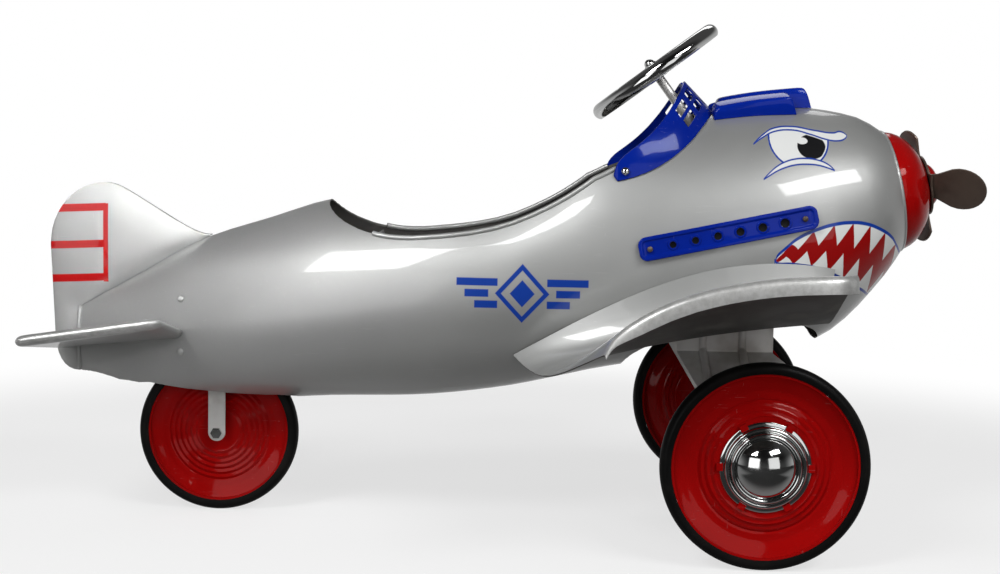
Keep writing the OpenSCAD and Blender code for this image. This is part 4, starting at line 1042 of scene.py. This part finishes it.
def arc(centre, radii, start, end, steps):
    """Points along part of an ellipse, in degrees from straight out."""
    turns = [math.radians(start + (end - start) * i / steps) for i in range(steps + 1)]
    return [(centre[0] + radii[0] * math.cos(t), centre[1] + radii[1] * math.sin(t)) for t in turns]


# Flange, two beads and dome of the hub cap, as radius and height
CAP_PROFILE = ([(0.0530, 0.0002), (0.0530, 0.0010), (0.0525, 0.0015), (0.0482, 0.0015)]
               + arc((0.0446, 0.0030), (0.0034, 0.0044), 0, 150, 8)
               + arc((0.0382, 0.0068), (0.0031, 0.0044), 0, 155, 8)
               + arc((0.0, -0.0178), (0.0443, 0.0443), 38.8, 90, 16))
CAP_SHEET = 0.0010


def spun_cap():
    """Hub cap spun from sheet: a flat flange, two beads and a full dome."""
    deselect()
    bpy.ops.mesh.primitive_plane_add(size=0.01)
    cap = bpy.context.object
    cap.name = "cap_right"
    edit(cap)
    bpy.ops.mesh.select_mode(type="VERT")
    select_mesh()
    bpy.ops.mesh.merge(type="CENTER")
    bpy.ops.transform.translate(value=(CAP_PROFILE[0][0], 0, CAP_PROFILE[0][1]))
    for (r0, h0), (r1, h1) in zip(CAP_PROFILE, CAP_PROFILE[1:]):
        bpy.ops.mesh.extrude_vertices_move(TRANSFORM_OT_translate={"value": (r1 - r0, 0, h1 - h0)})
    select_mesh()
    bpy.ops.mesh.spin(steps=96, angle=math.tau, center=(0, 0, 0), axis=(0, 0, 1))
    select_mesh()
    bpy.ops.mesh.remove_doubles(threshold=SAME_SPOT)
    bpy.ops.mesh.normals_make_consistent(inside=False)
    leave()
    if sum(face.normal.z * face.area for face in cap.data.polygons) < 0:
        cap.data.flip_normals()
    apply(cap, "SOLIDIFY", thickness=CAP_SHEET, offset=-1.0)
    low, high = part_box("hubcap_right")
    seat = Vector(((low[0] + high[0]) / 2, high[1], (low[2] + high[2]) / 2))
    set_place(cap, Matrix.Translation(seat) @ Matrix.Rotation(math.radians(90), 4, "X"))
    smooth(cap, 50)
    return cap


cap = spun_cap()
dress(mirrored(cap, "cap_left"), "free_wheel", chrome, "chrome", "hubcap_left")
dress(cap, "crank", chrome, "chrome", "hubcap_right")


HANGER_W = 0.117
# Places of the ribs along the hanger, and their ends in width and height
RIB_SHARES = (0.27, 0.68)
RIB_TOP = (-0.1290, 0.2420)
RIB_FOOT = (-0.1780, 0.1980)
RIB_RAKE = 0.004
RIB_R = 0.0050
RIB_ROUND = 0.0035


def hanger_ribs():
    """Two pressed ribs that run on over the bend of the right hanger."""
    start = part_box("hanger_right")[0][0]
    ribs = []
    for share in RIB_SHARES:
        top = Vector((start + share * HANGER_W, *RIB_TOP))
        foot = Vector((start + share * HANGER_W + RIB_RAKE, *RIB_FOOT))
        deselect()
        bpy.ops.mesh.primitive_cylinder_add(vertices=24, radius=RIB_R, depth=(foot - top).length)
        rib = bpy.context.object
        break_edges(rib, RIB_ROUND, 4, 40)
        set_place(rib, Matrix.Translation((top + foot) / 2) @ turned_to(foot - top))
        ribs.append(rib)
    ribs = join("hanger_ribs_right", *ribs)
    smooth(ribs, 50)
    return ribs


ribs = hanger_ribs()
dress(mirrored(ribs, "hanger_ribs_left"), "hull", hanger_steel, "silver_paint")
dress(ribs, "hull", hanger_steel, "silver_paint")
dress(sheet_copy("tail_wheel_disc", "disc_tail", 35), "tail_wheel", red, "red_paint", "tail_wheel_disc")
dress(sheet_copy("tail_tyre", "tyre_tail", 50), "tail_wheel", tyre_rubber, "tyre_rubber", "tail_tyre")
dress(bevelled_copy("seat_pan", "seat_sheet", 0.0010), "hull", silver, "silver_paint", "seat_pan")

# Steering wheel
STEER_R = 0.095
RIM_R = 0.0105
RIM_FLOOR = -0.8 * RIM_R
RIM_SHEET = 0.0014
HUB_R = 0.0155
HUB_H = 0.020
HUB_WALL = 0.004
HUB_DISH = 0.003
SPOKE_SIZE = (0.072, 0.014, 0.0035)
SPOKE_AT = (0.048, 0, 0.001)
SPOKE_TURNS = (60, 180, 300)
SPOKE_BORDER = 0.0035
SPOKE_DISH = 0.0012


def steering_wheel():
    """Half-round rolled rim, open underneath, on three pressed spokes."""
    deselect()
    bpy.ops.mesh.primitive_torus_add(major_radius=STEER_R - RIM_R, minor_radius=RIM_R,
                                     major_segments=96, minor_segments=28)
    rim = bpy.context.object
    edit(rim)
    select_mesh()
    bpy.ops.mesh.bisect(plane_co=(0, 0, RIM_FLOOR), plane_no=(0, 0, 1), clear_inner=True)
    leave()
    apply(rim, "SOLIDIFY", thickness=RIM_SHEET, offset=-1.0)
    deselect()
    bpy.ops.mesh.primitive_cylinder_add(vertices=48, radius=HUB_R, depth=HUB_H)
    hub = bpy.context.object
    faces_facing(hub, (0, 0, 1))
    bpy.ops.mesh.inset(thickness=HUB_WALL, depth=-HUB_DISH)
    leave()
    break_edges(hub, 0.0015, 3, 40)
    parts = [rim, hub]
    for turn in SPOKE_TURNS:
        deselect()
        bpy.ops.mesh.primitive_cube_add(size=1.0)
        spoke = bpy.context.object
        edit(spoke)
        select_mesh()
        bpy.ops.transform.resize(value=SPOKE_SIZE)
        bpy.ops.transform.translate(value=SPOKE_AT)
        leave()
        faces_facing(spoke, (0, 0, 1))
        bpy.ops.mesh.inset(thickness=SPOKE_BORDER, depth=-SPOKE_DISH)
        leave()
        break_edges(spoke, 0.0006, 2, 30)
        set_place(spoke, Matrix.Rotation(math.radians(turn), 4, "Z"))
        parts.append(spoke)
    rim = join("wheel_rim", *parts)
    at, axis = joint_line("steering_turn")
    set_place(rim, Matrix.Translation(at) @ Matrix.Rotation(-math.atan2(axis.x, -axis.z), 4, "Y"))
    smooth(rim)
    return rim


dress(steering_wheel(), "steering", chrome, "chrome", "steering_wheel")

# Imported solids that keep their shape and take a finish
SLOT_FINISH = {"silver_paint": silver, "blue_paint": blue, "red_paint": red, "chrome": chrome,
               "bare_steel": bare_steel, "black_plastic": bush_plastic,
               "pedal_rubber": pedal_rubber, "tyre_rubber": tyre_rubber}
OWN_FINISH = {"propeller": blade_steel, "exhaust_screws": blade_steel}
for part in frame["record"]["subparts"]:
    solid = nodes[part["node"]]
    finish = OWN_FINISH.get(part["node"], SLOT_FINISH[part["material_slot"]])
    solid.data.materials.clear()
    solid.data.materials.append(finish)


# Studio

WHITE = (1, 1, 1, 1)
BLACK = (0, 0, 0, 1)
ROOM_LIGHT = 0.13
FLOOR_GREY = (0.26, 0.26, 0.26, 1)
FLOOR_DARK = (0.02, 0.02, 0.02, 1)
FLOOR_FADE = (0.75, 1.9)
FLOOR_SEEN = 0.68


def place_camera():
    """Camera at the photograph's viewpoint."""
    data = bpy.data.cameras.new("photo_camera")
    data.sensor_width = SENSOR
    data.lens = CAMERA_LENS
    cam = bpy.data.objects.new("photo_camera", data)
    scene.collection.objects.link(cam)
    look = (Matrix.Rotation(math.radians(CAMERA_YAW), 4, "Z")
            @ Matrix.Rotation(math.radians(90 - CAMERA_PITCH), 4, "X")
            @ Matrix.Rotation(math.radians(CAMERA_ROLL), 4, "Z"))
    cam.matrix_world = Matrix.Translation(CAMERA_AT) @ look
    scene.camera = cam


def softbox(name, at, aim, size, power, spread=180):
    """Square-edged lamp: its place, aim and size in metres, its watts and its spread in degrees."""
    data = bpy.data.lights.new(name, "AREA")
    data.shape = "RECTANGLE"
    data.size, data.size_y = size
    data.energy = power
    data.spread = math.radians(spread)
    lamp = bpy.data.objects.new(name, data)
    scene.collection.objects.link(lamp)
    lamp.location = at
    lamp.rotation_euler = (Vector(aim) - Vector(at)).to_track_quat("-Z", "Y").to_euler()


def seen_or_mirrored(f):
    """One where a ray comes from the camera, a mirror or clear glass."""
    path = f.add("ShaderNodeLightPath").outputs
    seen = f.math("MAXIMUM", path["Is Camera Ray"], path["Is Glossy Ray"])
    return f.math("MAXIMUM", seen, path["Is Transmission Ray"])


def light_studio():
    """Lamps, and a room that metal mirrors."""
    aim = (0.0, 0.0, 0.3)
    softbox("left_box", (-1.45, -2.1, 2.45), aim, (1.0, 1.0), 50)
    softbox("right_box", (1.6, -1.9, 2.2), aim, (1.5, 0.55), 40)
    softbox("back_box", (0.4, 2.4, 2.2), aim, (1.6, 0.8), 8)
    softbox("left_card", (-1.9, -3.2, 0.95), aim, (2.2, 1.9), 24)
    softbox("right_card", (1.7, -3.2, 0.95), aim, (2.0, 1.9), 14)
    softbox("fin_card", (-0.14, -2.3, 1.02), (-0.43, 0.0, 0.48), (0.45, 0.35), 0.45, 14)
    world = bpy.data.worlds.new("studio")
    scene.world = world
    world.use_nodes = True
    world.node_tree.nodes.clear()
    f = Finish(world.node_tree)
    out = f.add("ShaderNodeOutputWorld")
    path = f.add("ShaderNodeLightPath").outputs
    way = f.axes(f.add("ShaderNodeTexCoord").outputs["Generated"])
    # Pale backdrop behind and beside the object, a darker room behind the camera and overhead
    room = f.span(way["Y"], -0.55, 0.10, 0.06, 0.50)
    room = f.math("MULTIPLY", room, f.span(way["Z"], 0.08, 0.45, 1.0, 0.15))
    level = f.math("MAXIMUM", room, path["Is Camera Ray"])
    pale = f.add("ShaderNodeBackground")
    pale.inputs["Color"].default_value = WHITE
    f.feed(pale.inputs["Strength"], level)
    dim = f.add("ShaderNodeBackground")
    dim.inputs["Color"].default_value = WHITE
    dim.inputs["Strength"].default_value = ROOM_LIGHT
    blend = f.add("ShaderNodeMixShader")
    f.feed(blend.inputs[0], seen_or_mirrored(f))
    f.feed(blend.inputs[1], dim.outputs[0])
    f.feed(blend.inputs[2], pale.outputs[0])
    f.feed(out.inputs["Surface"], blend.outputs[0])


def lay_floor():
    """Pale floor that keeps the shadow and fades to white, darker where metal mirrors its front."""
    deselect()
    bpy.ops.mesh.primitive_plane_add(size=40.0, location=(0, 0, 0))
    floor = bpy.context.object
    floor.name = "studio_floor"
    material, f, s = new_material("studio_floor")
    x, y, _ = f.axes(f.place())
    far = f.math("SQRT", f.math("ADD", f.math("MULTIPLY", x, x), f.math("MULTIPLY", y, y)))
    fade = f.span(far, *FLOOR_FADE)
    path = f.add("ShaderNodeLightPath").outputs
    near = f.mix(fade, FLOOR_GREY, BLACK)
    by_wheel = both(f, f.span(away(f, x, WHEEL_X), 0.22, 0.36, 1.0, 0.0), f.span(y, -0.36, -0.26, 1.0, 0.0))
    in_front = f.math("MAXIMUM", by_wheel, f.span(y, -0.62, -0.32, 1.0, 0.0))
    in_front = f.math("MULTIPLY", path["Is Glossy Ray"], in_front)
    f.feed(s["Base Color"], f.mix(in_front, near, FLOOR_DARK))
    s["Roughness"].default_value = 0.95
    s["Specular IOR Level"].default_value = 0.0
    s["Emission Color"].default_value = WHITE
    seen = f.math("MAXIMUM", path["Is Camera Ray"], path["Is Transmission Ray"])
    shown = f.math("MULTIPLY", seen, f.span(fade, 0.0, 1.0, FLOOR_SEEN, 1.0))
    # In polished metal it is pale behind the object, and darker towards the room in front
    reflected = f.math("MULTIPLY", path["Is Glossy Ray"], f.span(y, -0.40, 0.9, 0.02, 0.60))
    f.feed(s["Emission Strength"], f.math("ADD", reflected, shown))
    floor.data.materials.append(material)


place_camera()
light_studio()
lay_floor()
scene.view_settings.view_transform = "Standard"
